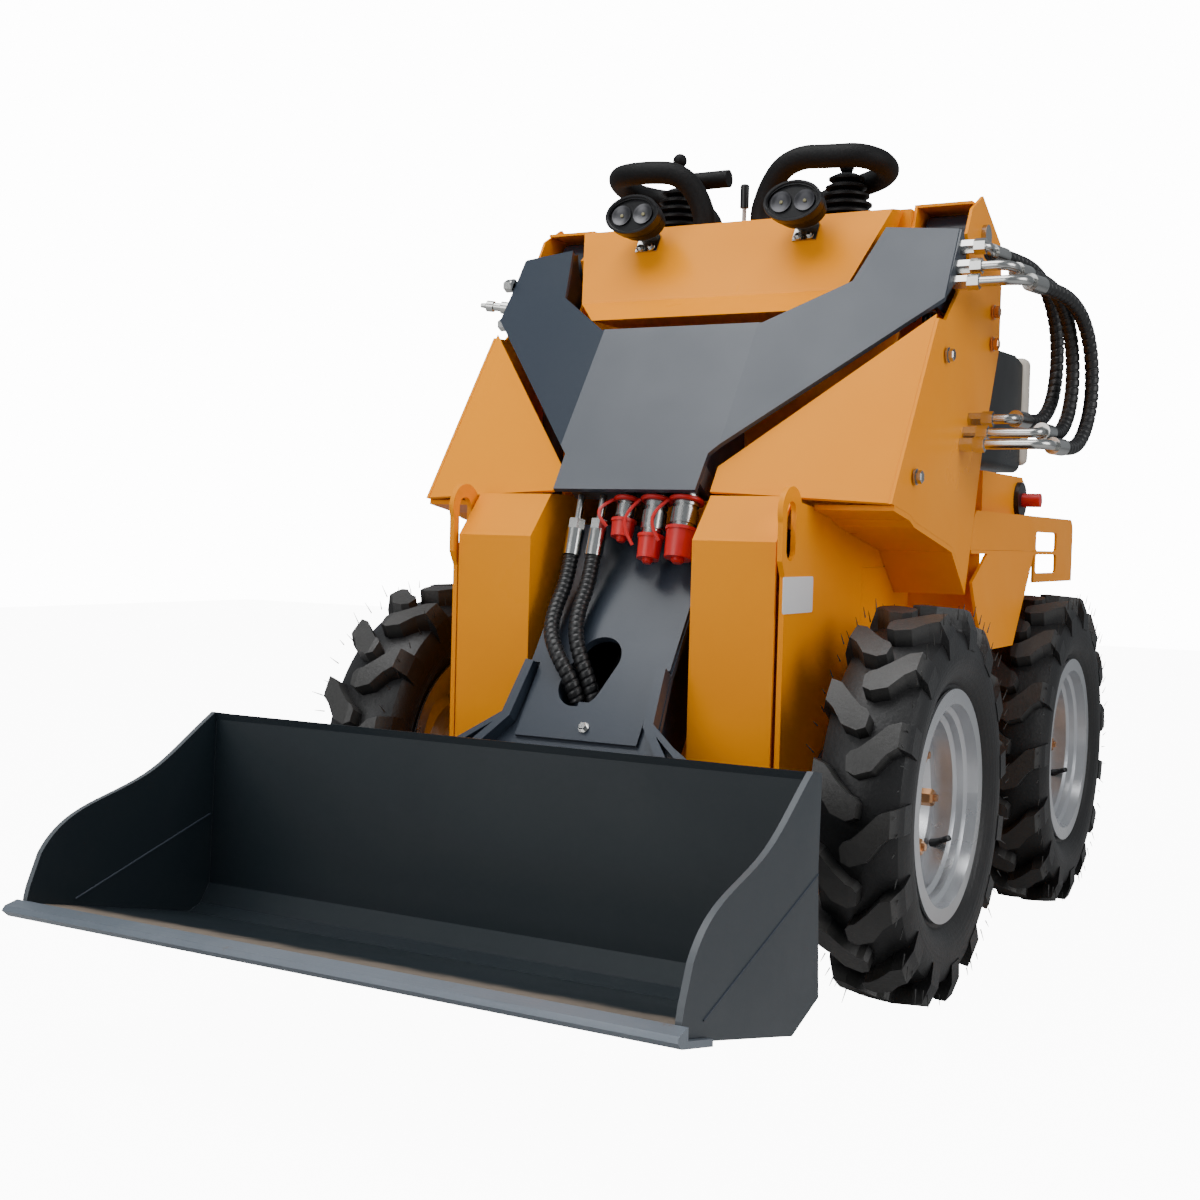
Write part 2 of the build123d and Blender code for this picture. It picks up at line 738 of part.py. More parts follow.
def off_hood(along, out):
    """Side profile point by its distance below the hood's top edge and out of its face."""
    return (
        HOOD_TOP[0] - along * -HOOD_OUT[1] * -1 + out * HOOD_OUT[0],
        HOOD_TOP[1] - along * -HOOD_OUT[0] + out * HOOD_OUT[1],
    )


with BuildPart() as lamp_brackets:
    with BuildSketch(side(LAMP_AT[0] - 21)):
        polygon([off_hood(22, 0), off_hood(56, 0), off_hood(56, 3), off_hood(25, 3), off_hood(25, 34), off_hood(22, 34)])
    extrude(amount=42)
    mirror(about=Plane.YZ)
finish(lamp_brackets, "lamp_brackets")

# ------------------------------------------------------------------ engine and rear
with BuildPart() as engine:
    with BuildSketch(Plane.XY.offset(ENGINE_BED)):
        with Locations((0, FRONT_AXLE_Y + (ENGINE_FRONT + ENGINE_REAR) / 2)):
            Rectangle(360, ENGINE_REAR - ENGINE_FRONT)
    extrude(amount=ENGINE_SPLIT - ENGINE_BED)
    chamfer(engine.edges().filter_by(Axis.Z), 40)
finish(engine, "engine_block")

with BuildPart() as shroud:
    with BuildSketch(side(-326)):
        polygon(
            [
                (ENGINE_FRONT, ENGINE_SPLIT),
                (ENGINE_REAR, ENGINE_SPLIT),
                (ENGINE_REAR, ENGINE_TOP - 12),
                (ENGINE_REAR - 60, ENGINE_TOP),
                (ENGINE_FRONT + 90, ENGINE_TOP - 8),
                (ENGINE_FRONT, ENGINE_TOP - 50),
            ]
        )
    extrude(amount=2 * 326)
    fillet(shroud.edges().filter_by(Axis.Y), 16)
finish(shroud, "engine_shroud")

with BuildPart() as starter_cover:
    with BuildSketch(Plane(origin=(0, FRONT_AXLE_Y + ENGINE_REAR, 0), x_dir=(1, 0, 0), z_dir=(0, -1, 0))):
        with Locations((0, 960)):
            RectangleRounded(640, 180, 30)
    extrude(amount=-46)
    fillet(starter_cover.faces().sort_by(Axis.Y)[-1].edges(), 14)
finish(starter_cover, "engine_rear_cover")

BATTERY_SIDE = 380.0
with BuildPart() as battery_box:
    with BuildSketch(side(FENDER_IN + 4)):
        polygon([(470, LEDGE_TOP), (770, LEDGE_TOP), (770, 800), (750, 812), (470, 812)])
    extrude(amount=BATTERY_SIDE - FENDER_IN - 4)
finish(battery_box, "battery_box")

with BuildPart() as battery_switch:
    with BuildSketch(side(BATTERY_SIDE)):
        with Locations((722, 768)):
            Circle(34)
    extrude(amount=9)
    with BuildSketch(side(BATTERY_SIDE + 9)):
        with Locations((722, 768)):
            Circle(13)
    extrude(amount=34)
finish(battery_switch, "battery_switch")

GUARD_REAR = 1092.0
GUARD_TOP = 739.0
GUARD_FOOT = 612.0
GUARD_CORNER_R = 26.0
HEEL_SLOPE = (TOWER_HEEL[0] - ARCH_LINE[-1][0]) / (TOWER_HEEL[1] - ARCH_LINE[-1][1])
GUARD_WINDOW = (170.0, 36.0)
with BuildPart() as rear_guards:
    with BuildSketch(side(TOWER_OUTER - SHEET)) as guard_face:
        polygon(
            [
                (TOWER_HEEL[0] - HEEL_SLOPE * (TOWER_HEEL[1] - LEDGE_TOP) + 1, LEDGE_TOP + SEAM),
                (TOWER_HEEL[0] - HEEL_SLOPE * (TOWER_HEEL[1] - GUARD_TOP) + 1, GUARD_TOP),
                (GUARD_REAR, GUARD_TOP),
                (GUARD_REAR, GUARD_FOOT),
                (GUARD_FRONT, GUARD_FOOT),
                (GUARD_FRONT, LEDGE_TOP + SEAM),
            ]
        )
        fillet(guard_face.vertices().sort_by(Axis.Y)[-2:], GUARD_CORNER_R)
        with Locations((GUARD_FRONT + 98, LEDGE_TOP + 19), (GUARD_FRONT + 98, LEDGE_TOP - 24)):
            RectangleRounded(*GUARD_WINDOW, 8, mode=Mode.SUBTRACT)
    extrude(amount=SHEET)
    mirror(about=Plane.YZ)
finish(rear_guards, "rear_guards")

PLATFORM_REAR = 1327.0
PLATFORM_TOP = 262.0
with BuildPart() as platform:
    with BuildSketch(Plane.XY.offset(PLATFORM_TOP - 6)):
        with Locations((0, FRONT_AXLE_Y + (TUB_REAR + PLATFORM_REAR) / 2)):
            Rectangle(540, PLATFORM_REAR - TUB_REAR)
    extrude(amount=6)
    for x in (-250, 250):
        with BuildSketch(side(x - 4)):
            polygon(
                [
                    (TUB_REAR, PLATFORM_TOP - 6),
                    (TUB_REAR, PLATFORM_TOP + 150),
                    (TUB_REAR + 14, PLATFORM_TOP + 150),
                    (TUB_REAR + 40, PLATFORM_TOP + 20),
                    (PLATFORM_REAR, PLATFORM_TOP + 20),
                    (PLATFORM_REAR, PLATFORM_TOP - 6),
                ]
            )
        extrude(amount=8)
finish(platform, "operator_platform")

# ------------------------------------------------------------------ lift arm
WING_OUT = 406.0
WING_TOP_IN = 290.0
ROOT_PLATES = (TOWER_INNER + SHEET + MOVE_GAP + 1, TOWER_OUTER - SHEET - MOVE_GAP - 16)  # inner faces' X
BOX_HALF = 88.0              # inside half width of the lower box
BOX_BACK = -252.0            # n of the lower box's back
BOX_BACK_SPAN = (-400.0, 20.0)  # s
BASE_END = -490.0
COVER_PLATE = 6.0
RIB_HEIGHT = 22.0
RIB_LINE = [(104, -328), (119, -326), (127, -418), (210, -485), (160, -489), (112, -424)]   # (x, s)
RIB_WINDOW = [(136, -436), (196, -486), (176, -487)]
HOSE_HOLE = (124.0, 72.0)    # slanted hole for the bucket's hoses, length and width
HOSE_HOLE_AT = (-12.0, -332.0)  # (X, s)
HOSE_HOLE_TURN = 72.0
LIFT_EYE = (224.6, 1070.4)
LIFT_FOOT = (240.0, 690.0)
LIFT_PIN_R = 14.0
TILT_ANCHOR = (-40.0, -212.0)  # (s, n)
TILT_PIN_R = 16.0
LUG_IN = 208.0               # inner face of the hitch lugs
LUG_PLATE = 12.0


BOSS_R = 38.0
NOTCH_R = 97.0               # reach of the gap in the root plates that the tower's roof turns into
ROOT_NOTCH = [PIVOT] + [
    (PIVOT[0] - NOTCH_R * cos(radians(turn)), PIVOT[1] + NOTCH_R * sin(radians(turn)))
    for turn in range(-47, 164, 15)
]


def wing_n(x):
    """Front of the folded wing at the given X."""
    return -WING_SLOPE * max(0.0, abs(x) - WING_FOLD)


wing_section = [(-WING_OUT, wing_n(WING_OUT)), (-WING_FOLD, 0), (WING_FOLD, 0), (WING_OUT, wing_n(WING_OUT))]
wing_half = [(122, -68), (124, 0), (WING_OUT, 345), (WING_OUT - 4, 490), (WING_TOP_IN, 480), (262, 361), (143, 258)]
wing_outline = [(-x, s) for x, s in reversed(wing_half)] + wing_half
wing_plate = bent_plate(wing_section, wing_outline, ARM_PLATE)

with BuildPart() as lift_arm:
    add(wing_plate)
    # flange that closes the wing's outer edge
    with BuildSketch(side(WING_OUT - ARM_PLATE)):
        polygon([on_arm(349, -62), on_arm(490, -60), on_arm(488, -88), on_arm(404, -86), on_arm(364, -72)])
    extrude(amount=ARM_PLATE)
    # pairs of root plates reaching back to the pivot, with the lift cylinder's ears
    for x in ROOT_PLATES:
        front = wing_n(x + ARM_PLATE) + 0.5 * -ARM_PLATE
        with BuildSketch(side(x)):
            polygon(
                [
                    on_arm(338, front),
                    on_arm(478, front),
                    (PIVOT[0], PIVOT[1] + 22),
                    (PIVOT[0] + 20, PIVOT[1] - 30),
                    (LIFT_EYE[0] + 22, LIFT_EYE[1] - 12),
                    (LIFT_EYE[0] - 20, LIFT_EYE[1] - 26),
                ]
            )
            Polygon(*ROOT_NOTCH, align=None, mode=Mode.SUBTRACT)
            with Locations(PIVOT):
                Circle(BOSS_R)
            with Locations(LIFT_EYE):
                Circle(30)
        extrude(amount=ARM_PLATE)
    with BuildSketch(side(ROOT_PLATES[0])):
        with Locations(PIVOT):
            Circle(BOSS_R)
    extrude(amount=ROOT_PLATES[1] + ARM_PLATE - ROOT_PLATES[0])
    mirror(about=Plane.YZ)
    # box of the lower arm
    for x in (-BOX_HALF - ARM_PLATE, BOX_HALF):
        with BuildSketch(side(x)):
            polygon(
                [
                    on_arm(236, -4),
                    on_arm(236, -60),
                    on_arm(BOX_BACK_SPAN[1], BOX_BACK),
                    on_arm(BOX_BACK_SPAN[0], BOX_BACK),
                    on_arm(-640, -230),
                    on_arm(*HITCH_PIN),
                    on_arm(HITCH_PIN[0] + 20, LOWER_FACE - COVER_PLATE - 2),
                    on_arm(-10, LOWER_FACE - COVER_PLATE - 2),
                    on_arm(-10, -4),
                ]
            )
            with Locations(on_arm(*HITCH_PIN)):
                Circle(44)
        extrude(amount=ARM_PLATE)
    # front plate of the lower arm, flared towards the hitch, and its ribs
    base_half = [(BOX_HALF + ARM_PLATE + 4, BASE_END), (222, BASE_END), (213, -476), (129, -424), (120, -330), (120, -62)]
    with BuildSketch(ARM_FRONT.offset(LOWER_FACE - COVER_PLATE - ARM_PLATE)):
        polygon([(-x, s) for x, s in reversed(base_half)] + base_half)
        with Locations(HOSE_HOLE_AT):
            SlotOverall(*HOSE_HOLE, rotation=HOSE_HOLE_TURN, mode=Mode.SUBTRACT)
    extrude(amount=ARM_PLATE)
    # ribs along the cover's lower corners and out over the flare
    for hand in (1, -1):
        with BuildSketch(ARM_FRONT.offset(LOWER_FACE - COVER_PLATE)):
            polygon([(hand * x, s) for x, s in RIB_LINE])
            Polygon(*[(hand * x, s) for x, s in RIB_WINDOW], align=None, mode=Mode.SUBTRACT)
        extrude(amount=RIB_HEIGHT)
    # sheet across the back of the box
    with BuildSketch(side(-BOX_HALF)):
        polygon(
            [
                on_arm(BOX_BACK_SPAN[0], BOX_BACK),
                on_arm(BOX_BACK_SPAN[0], BOX_BACK + 6),
                on_arm(BOX_BACK_SPAN[1] - 40, BOX_BACK + 6),
                on_arm(BOX_BACK_SPAN[1] - 40, BOX_BACK),
            ]
        )
    extrude(amount=2 * BOX_HALF)
    # tubes from the box out to the hitch pins, on gussets under the flare
    for hand in (1, -1):
        with BuildSketch(side(hand * BOX_HALF)):
            with Locations(on_arm(*HITCH_PIN)):
                Circle(32)
        extrude(amount=hand * (204 - BOX_HALF))
        with BuildSketch(side(hand * 196)):
            with Locations(on_arm(*HITCH_PIN)):
                Circle(HITCH_PIN_R)
        extrude(amount=hand * (LUG_IN + LUG_PLATE + 6 - 196))
    for x in (-204, 196):
        with BuildSketch(side(x)):
            polygon(
                [
                    on_arm(-474, LOWER_FACE - COVER_PLATE - 2),
                    on_arm(BASE_END - 4, LOWER_FACE - COVER_PLATE - 2),
                    on_arm(HITCH_PIN[0], HITCH_PIN[1] + 30),
                    on_arm(HITCH_PIN[0], HITCH_PIN[1] - 24),
                    on_arm(HITCH_PIN[0] + 30, HITCH_PIN[1] - 20),
                ]
            )
        extrude(amount=ARM_PLATE)
    # pin across the box for the tilt cylinder
    with BuildSketch(side(-BOX_HALF - 2)):
        with Locations(on_arm(*TILT_ANCHOR)):
            Circle(TILT_PIN_R)
    extrude(amount=2 * BOX_HALF + 4)
    # bores for the pivot pins
    with BuildSketch(side(-WING_OUT)):
        with Locations(PIVOT):
            Circle(PIVOT_PIN_R + RUN_FIT)
    extrude(amount=2 * WING_OUT, mode=Mode.SUBTRACT)
finish(lift_arm, "lift_arm")

# Removable cover over the lower arm, with the slanted hole for the tilt hoses.
with BuildPart() as arm_cover:
    cover_half = [(102, -447), (102, -322), (118, -322), (118, -74)]
    with BuildSketch(ARM_FRONT.offset(LOWER_FACE - COVER_PLATE)):
        polygon([(-x, s) for x, s in reversed(cover_half)] + cover_half)
        with Locations(HOSE_HOLE_AT):
            SlotOverall(*HOSE_HOLE, rotation=HOSE_HOLE_TURN, mode=Mode.SUBTRACT)
    extrude(amount=COVER_PLATE)
finish(arm_cover, "arm_cover")

# ------------------------------------------------------------------ hitch and bucket
EAR_IN = 28.0                # inner face of the tilt ears
TILT_CRANK = 80.0
TILT_CRANK_ANGLE = -25.0     # at rest, from s towards the rear
TILT_EYE = (
    HITCH_PIN[0] + TILT_CRANK * cos(radians(TILT_CRANK_ANGLE)),
    HITCH_PIN[1] - TILT_CRANK * sin(radians(TILT_CRANK_ANGLE)),
)
hitch_at = on_arm(*HITCH_PIN)
tilt_at = on_arm(*TILT_EYE)

with BuildPart() as hitch:
    with BuildSketch(side(-260)):
        polygon([(-510, 370), (-501, 150), (-491, 150), (-500, 370)])
    extrude(amount=520)
    for x in (-LUG_IN - LUG_PLATE, LUG_IN):
        with BuildSketch(side(x)):
            polygon([(-498, 130 + 30), (-500, 330), (hitch_at[0] + 10, hitch_at[1] + 34), (hitch_at[0], hitch_at[1] - 34)])
            with Locations(hitch_at):
                Circle(36)
                Circle(HITCH_PIN_R + RUN_FIT, mode=Mode.SUBTRACT)
        extrude(amount=LUG_PLATE)
    for x in (-EAR_IN - LUG_PLATE, EAR_IN):
        with BuildSketch(side(x)):
            polygon([(-498, 222), (-500, 345), (tilt_at[0] + 4, tilt_at[1] + 26), (tilt_at[0] - 4, tilt_at[1] - 24)])
            with Locations(tilt_at):
                Circle(26)
        extrude(amount=LUG_PLATE)
finish(hitch, "quick_hitch")

BUCKET_HALF = 467.0
BUCKET_SHEET = 8.0
with BuildPart() as bucket:
    # floor and back, folded from one sheet, with the flange along its top
    with BuildSketch(side(-BUCKET_HALF + 1)):
        polygon(
            [
                (-512, 404),
                (-540, 408),
                (-538, 398),
                (-548, 160),
                (-566, 134),
                (-590, 126),
                (-882, 194),
                (-882, 184),
                (-592, 117),
                (-562, 125),
                (-540, 156),
                (-530, 394),
                (-512, 392),
            ]
        )
    extrude(amount=2 * BUCKET_HALF - 2)
    # side plates with the swept top edge
    for x in (-BUCKET_HALF, BUCKET_HALF - BUCKET_SHEET):
        with BuildSketch(side(x)):
            with BuildLine():
                Polyline((-882, 183.4), (-880, 200), (-876, 214), (-858, 254))
                Spline((-858, 254), (-820, 288), (-740, 315), (-661, 339), (-590, 379), (-540, 409))
                Polyline(
                    (-540, 409),
                    (-511, 404),
                    (-514, 290),
                    (-500, 131),
                    (-583, 106),
                    (-822, 165),
                    (-822, 169.6),
                    (-882, 183.4),
                )
            make_face()
        extrude(amount=BUCKET_SHEET)
    # stiffeners behind the back sheet, which the hitch hooks on to
    with BuildSketch(side(-300)):
        polygon([(-513, 392), (-510.5, 372), (-528, 372), (-530, 392)])
        polygon([(-540, 158), (-502, 156), (-500.5, 132), (-560, 120), (-560, 126)])
    extrude(amount=600)
finish(bucket, "bucket")

with BuildPart() as edge_bar:
    with BuildSketch(side(-BUCKET_HALF - 8)):
        polygon([(-907, 187), (-902, 193), (-882.4, 197), (-882.4, 183), (-822.4, 169.2), (-822.4, 161), (-896, 178)])
    extrude(amount=2 * BUCKET_HALF + 16)
finish(edge_bar, "cutting_edge")

# ------------------------------------------------------------------ hydraulic cylinders
def along(start, end, distance):
    """Point at a distance from start towards end, in a side profile."""
    run = hypot(end[0] - start[0], end[1] - start[1])
    return (
        start[0] + (end[0] - start[0]) * distance / run,
        start[1] + (end[1] - start[1]) * distance / run,
    )


def cylinder_frame(x, start, end):
    """Plane at start, looking along the line from start to end at the given X."""
    return Plane(
        origin=(x, FRONT_AXLE_Y + start[0], start[1]), x_dir=(1, 0, 0), z_dir=(0, end[0] - start[0], end[1] - start[1])
    )


LIFT_X = (ROOT_PLATES[0] + ARM_PLATE + ROOT_PLATES[1]) / 2
LIFT_LENGTH = hypot(LIFT_EYE[0] - LIFT_FOOT[0], LIFT_EYE[1] - LIFT_FOOT[1])
LIFT_BARREL_R = 24.0
LIFT_ROD_R = 12.0
LIFT_BARREL = 300.0
LIFT_BOTTOM = 58.0           # inside end of the bore, from the foot pin
EYE_WIDTH = 36.0

with BuildPart() as lift_barrels:
    with BuildSketch(side(LIFT_X - EYE_WIDTH / 2)):
        with Locations(LIFT_FOOT):
            Circle(22)
    extrude(amount=EYE_WIDTH)
    with BuildSketch(cylinder_frame(LIFT_X, LIFT_FOOT, LIFT_EYE).offset(16)):
        Circle(LIFT_BARREL_R)
    extrude(amount=LIFT_BARREL - 16)
    with BuildSketch(side(LIFT_X - EYE_WIDTH / 2 - 10)):
        with Locations(LIFT_FOOT):
            Circle(LIFT_PIN_R + RUN_FIT)
    extrude(amount=EYE_WIDTH + 20, mode=Mode.SUBTRACT)
    with BuildSketch(cylinder_frame(LIFT_X, LIFT_FOOT, LIFT_EYE).offset(LIFT_BOTTOM)):
        Circle(LIFT_ROD_R + RUN_FIT)
    extrude(amount=LIFT_BARREL, mode=Mode.SUBTRACT)
    mirror(about=Plane.YZ)
finish(lift_barrels, "lift_cylinder_barrels")

with BuildPart() as lift_rods:
    with BuildSketch(cylinder_frame(LIFT_X, LIFT_FOOT, LIFT_EYE).offset(LIFT_BOTTOM + 14)):
        Circle(LIFT_ROD_R)
    extrude(amount=LIFT_LENGTH - LIFT_BOTTOM - 14 - 16)
    with BuildSketch(side(LIFT_X - EYE_WIDTH / 2)):
        with Locations(LIFT_EYE):
            Circle(21)
    extrude(amount=EYE_WIDTH)
    with BuildSketch(side(LIFT_X - EYE_WIDTH / 2 - 4)):
        with Locations(LIFT_EYE):
            Circle(LIFT_PIN_R)
    extrude(amount=EYE_WIDTH + 8)
    mirror(about=Plane.YZ)
finish(lift_rods, "lift_cylinder_rods")

# Foot pins of the lift cylinders, between the tower plates.
with BuildPart() as foot_pins:
    with BuildSketch(side(TOWER_INNER)):
        with Locations(LIFT_FOOT):
            Circle(LIFT_PIN_R)
    extrude(amount=TOWER_OUTER - TOWER_INNER)
    mirror(about=Plane.YZ)
with BuildPart() as towers_with_pins:
    add(towers_bored.part)
    add(foot_pins.part)
finish(towers_with_pins, "arm_towers")

TILT_FOOT = on_arm(*TILT_ANCHOR)
TILT_LENGTH = hypot(tilt_at[0] - TILT_FOOT[0], tilt_at[1] - TILT_FOOT[1])
TILT_BARREL_R = 27.0
TILT_ROD_R = 16.0
TILT_BARREL = 300.0
TILT_BOTTOM = 70.0
with BuildPart() as tilt_barrel:
    with BuildSketch(side(-EYE_WIDTH / 2)):
        with Locations(TILT_FOOT):
            Circle(28)
    extrude(amount=EYE_WIDTH)
    with BuildSketch(cylinder_frame(0, TILT_FOOT, tilt_at).offset(20)):
        Circle(TILT_BARREL_R)
    extrude(amount=TILT_BARREL - 20)
    with BuildSketch(side(-40)):
        with Locations(TILT_FOOT):
            Circle(TILT_PIN_R + RUN_FIT)
    extrude(amount=80, mode=Mode.SUBTRACT)
    with BuildSketch(cylinder_frame(0, TILT_FOOT, tilt_at).offset(TILT_BOTTOM)):
        Circle(TILT_ROD_R + RUN_FIT)
    extrude(amount=TILT_BARREL, mode=Mode.SUBTRACT)
finish(tilt_barrel, "tilt_cylinder_barrel")

with BuildPart() as tilt_rod:
    with BuildSketch(cylinder_frame(0, TILT_FOOT, tilt_at).offset(TILT_BOTTOM + 26)):
        Circle(TILT_ROD_R)
    extrude(amount=TILT_LENGTH - TILT_BOTTOM - 26 - 18)
    with BuildSketch(side(-EYE_WIDTH / 2)):
        with Locations(tilt_at):
            Circle(24)
    extrude(amount=EYE_WIDTH)
    with BuildSketch(side(-EYE_WIDTH / 2 - 7)):
        with Locations(tilt_at):
            Circle(TILT_PIN_R)
    extrude(amount=EYE_WIDTH + 14)
finish(tilt_rod, "tilt_cylinder_rod")

# ------------------------------------------------------------------ couplers and hoses on the arm
PORT_AT = (-58.0, -32.0)     # (s, n) of the manifold's port faces
COUPLER_LEAN = radians(17)   # of the couplers and hose ends away from the arm's slope
LEAN_DIR = (
    -cos(radians(ARM_SLOPE) + COUPLER_LEAN),
    -sin(radians(ARM_SLOPE) + COUPLER_LEAN),
)
COUPLERS = [  # X, sleeve radius, bare length, cap radius, cap length
    (-6.0, 15.0, 40.0, 18.5, 27.0),
    (45.0, 19.0, 64.0, 19.5, 36.0),
    (95.0, 20.5, 52.0, 24.0, 46.0),
]


def from_port(x, distance):
    """Plane across a coupler or hose end, at a distance from the manifold's port face."""
    port = on_arm(*PORT_AT)
    return Plane(
        origin=(x, FRONT_AXLE_Y + port[0] + distance * LEAN_DIR[0], port[1] + distance * LEAN_DIR[1]),
        x_dir=(1, 0, 0),
        z_dir=(0, *LEAN_DIR),
    )


# Manifold block behind the plate's lower edge.
MANIFOLD = (-112.0, 122.0)   # X of its ends
with BuildPart() as manifold:
    with BuildSketch(side(MANIFOLD[0])):
        polygon(
            [
                on_arm(-16, -ARM_PLATE),
                on_arm(PORT_AT[0] + 8, -ARM_PLATE),
                on_arm(PORT_AT[0] + 10, PORT_AT[1] - 24),
                on_arm(-16, PORT_AT[1] - 24),
            ]
        )
    extrude(amount=MANIFOLD[1] - MANIFOLD[0])
    for x, body_r, *_ in COUPLERS:
        with BuildSketch(from_port(x, -18)):
            Circle(body_r - 4)
        extrude(amount=18)
finish(manifold, "arm_manifold")

with BuildPart() as couplers:
    for x, body_r, bare, *_ in COUPLERS:
        with BuildSketch(from_port(x, 0)):
            Circle(body_r)
        extrude(amount=0.3 * bare)
        with BuildSketch(from_port(x, 0.3 * bare)):
            Circle(body_r - 2.5)
        extrude(amount=0.1 * bare)
        with BuildSketch(from_port(x, 0.4 * bare)):
            Circle(body_r)
        extrude(amount=0.45 * bare)
        with BuildSketch(from_port(x, 0.85 * bare)):
            Circle(body_r - 3)
        extrude(amount=0.15 * bare)
finish(couplers, "hydraulic_couplers")

with BuildPart() as coupler_caps:
    for x, body_r, bare, cap_r, cap in COUPLERS:
        with BuildSketch(from_port(x, bare)):
            Circle(cap_r)
        extrude(amount=cap, taper=4)
finish(coupler_caps, "coupler_caps")


HOSE_R = 12.0
FERRULE_R = 14.0
FERRULE = 42.0
FERRULE_START = 56.0         # from the manifold's port face
FIRST_RUN = 44.0             # of a front hose, in line with its ferrule
FRONT_HOSES = [  # name, X of its end, (x, s, n) of its route on from the ferrule
    (
        "front_hose_right",
        -88.0,
        [(-94, -240, -76), (-86, -285, -74), (-60, -323, -78), (-37, -351, -99), (-30, -372, -122)],
    ),
    (
        "front_hose_left",
        -49.0,
        [(-53, -240, -77), (-46, -282, -80), (-31, -315, -93), (-17, -341, -113), (-9, -364, -133)],
    ),
]
with BuildPart() as front_ends:
    for _, x, _ in FRONT_HOSES:
        with BuildSketch(from_port(x, 0)):
            Circle(6)
        extrude(amount=FERRULE_START)
        with BuildSketch(from_port(x, FERRULE_START - 16)):
            RegularPolygon(FERRULE_R, 6)
        extrude(amount=16)
        with BuildSketch(from_port(x, FERRULE_START)):
            Circle(FERRULE_R)
        extrude(amount=FERRULE)
finish(front_ends, "front_hose_ends")


def arm_point(x, s, n):
    """Point in the machine's frame of the arm coordinates (x, s, n)."""
    behind, up = on_arm(s, n)
    return (x, FRONT_AXLE_Y + behind, up)


for name, x, route in FRONT_HOSES:
    start = from_port(x, FERRULE_START + FERRULE).origin
    straight = from_port(x, FERRULE_START + FERRULE + FIRST_RUN).origin
    hose_part = bent_tube([start, straight] + [arm_point(*p) for p in route], HOSE_R)
    with BuildPart() as front_hose:
        add(hose_part)
    finish(front_hose, name)

# Ports under the cover that the front hoses end on, on a strap across the arm's box.
with BuildPart() as arm_with_ports:
    add(lift_arm.part)
    for _, _, route in FRONT_HOSES:
        last, end = Vector(*arm_point(*route[-2])), Vector(*arm_point(*route[-1]))
        with BuildSketch(Plane(origin=end, z_dir=end - last)):
            Circle(8)
        extrude(amount=20)
        x, s, n = route[-1]
        with BuildSketch(side(x - 12)):
            polygon([on_arm(s - 14, -112), on_arm(s - 14, n - 15), on_arm(s - 24, n - 15), on_arm(s - 24, -112)])
        extrude(amount=30)
finish(arm_with_ports, "lift_arm")

# ------------------------------------------------------------------ hoses over the arm's pivot
ADAPTER_R = 12.0
ADAPTER = 22.0
NUT_R = 13.0
NUT = 18.0
TUBE_R = 8.0
ARM_PORTS = [(466.0, -76.0), (427.0, -80.0), (398.0, -84.0)]     # (s, n)
TOWER_PORTS = [(283.0, 886.0), (255.0, 861.0), (237.0, 842.0)]
SIDE_HOSES = [  # name, route from the arm's end to the tower's as (x, behind the front axle, height)
    (
        "side_hose_upper",
        [
            (450, 292, 1150), (463, 353, 1150), (475, 413, 1144), (485, 468, 1123), (493, 511, 1084),
            (498, 531, 1030), (499, 525, 975), (498, 495, 928), (494, 449, 899), (488, 397, 888), (481, 345, 888),
        ],
    ),
    (
        "side_hose_middle",
        [
            (497, 262, 1113), (508, 327, 1113), (518, 389, 1103), (526, 444, 1076), (532, 481, 1028),
            (536, 489, 969), (537, 467, 916), (535, 424, 880), (532, 371, 865), (528, 317, 865),
        ],
    ),
    (
        "side_hose_lower",
        [
            (520, 260, 1094), (532, 322, 1094), (545, 382, 1087), (555, 437, 1067), (563, 480, 1029),
            (567, 500, 977), (568, 492, 923), (565, 461, 880), (561, 417, 853), (555, 369, 842), (548, 320, 842),
        ],
    ),
]

with BuildPart() as arm_adapters:
    for at in ARM_PORTS:
        with BuildSketch(side(WING_OUT)):
            with Locations(on_arm(*at)):
                RegularPolygon(ADAPTER_R, 6)
        extrude(amount=ADAPTER)
finish(arm_adapters, "arm_adapters")

with BuildPart() as tower_adapters:
    for at in TOWER_PORTS:
        with BuildSketch(side(TOWER_OUTER)):
            with Locations(at):
                RegularPolygon(ADAPTER_R, 6)
        extrude(amount=ADAPTER)
finish(tower_adapters, "tower_adapters")


def hose_end(port, tip, onward):
    """Swaged hose end: a nut at the port, a bent tube and the ferrule that grips the hose at tip."""
    heading = (Vector(*onward) - Vector(*tip)).normalized()
    ferrule_start = Vector(*tip) - heading * FERRULE
    corner = Vector(tip[0], port.Y, port.Z)
    bend = 0.6 * min((corner - port).length, (ferrule_start - corner).length)
    with BuildPart() as end:
        with BuildSketch(Plane(origin=port, z_dir=(1, 0, 0))):
            RegularPolygon(NUT_R, 6)
        extrude(amount=NUT)
        with BuildLine():
            path = FilletPolyline(port, corner, ferrule_start, radius=bend)
        with BuildSketch(Plane(origin=port, z_dir=(1, 0, 0))):
            Circle(TUBE_R)
        sweep(path=path)
        with BuildSketch(Plane(origin=ferrule_start, z_dir=heading)):
            Circle(FERRULE_R)
        extrude(amount=FERRULE)
    return end.part


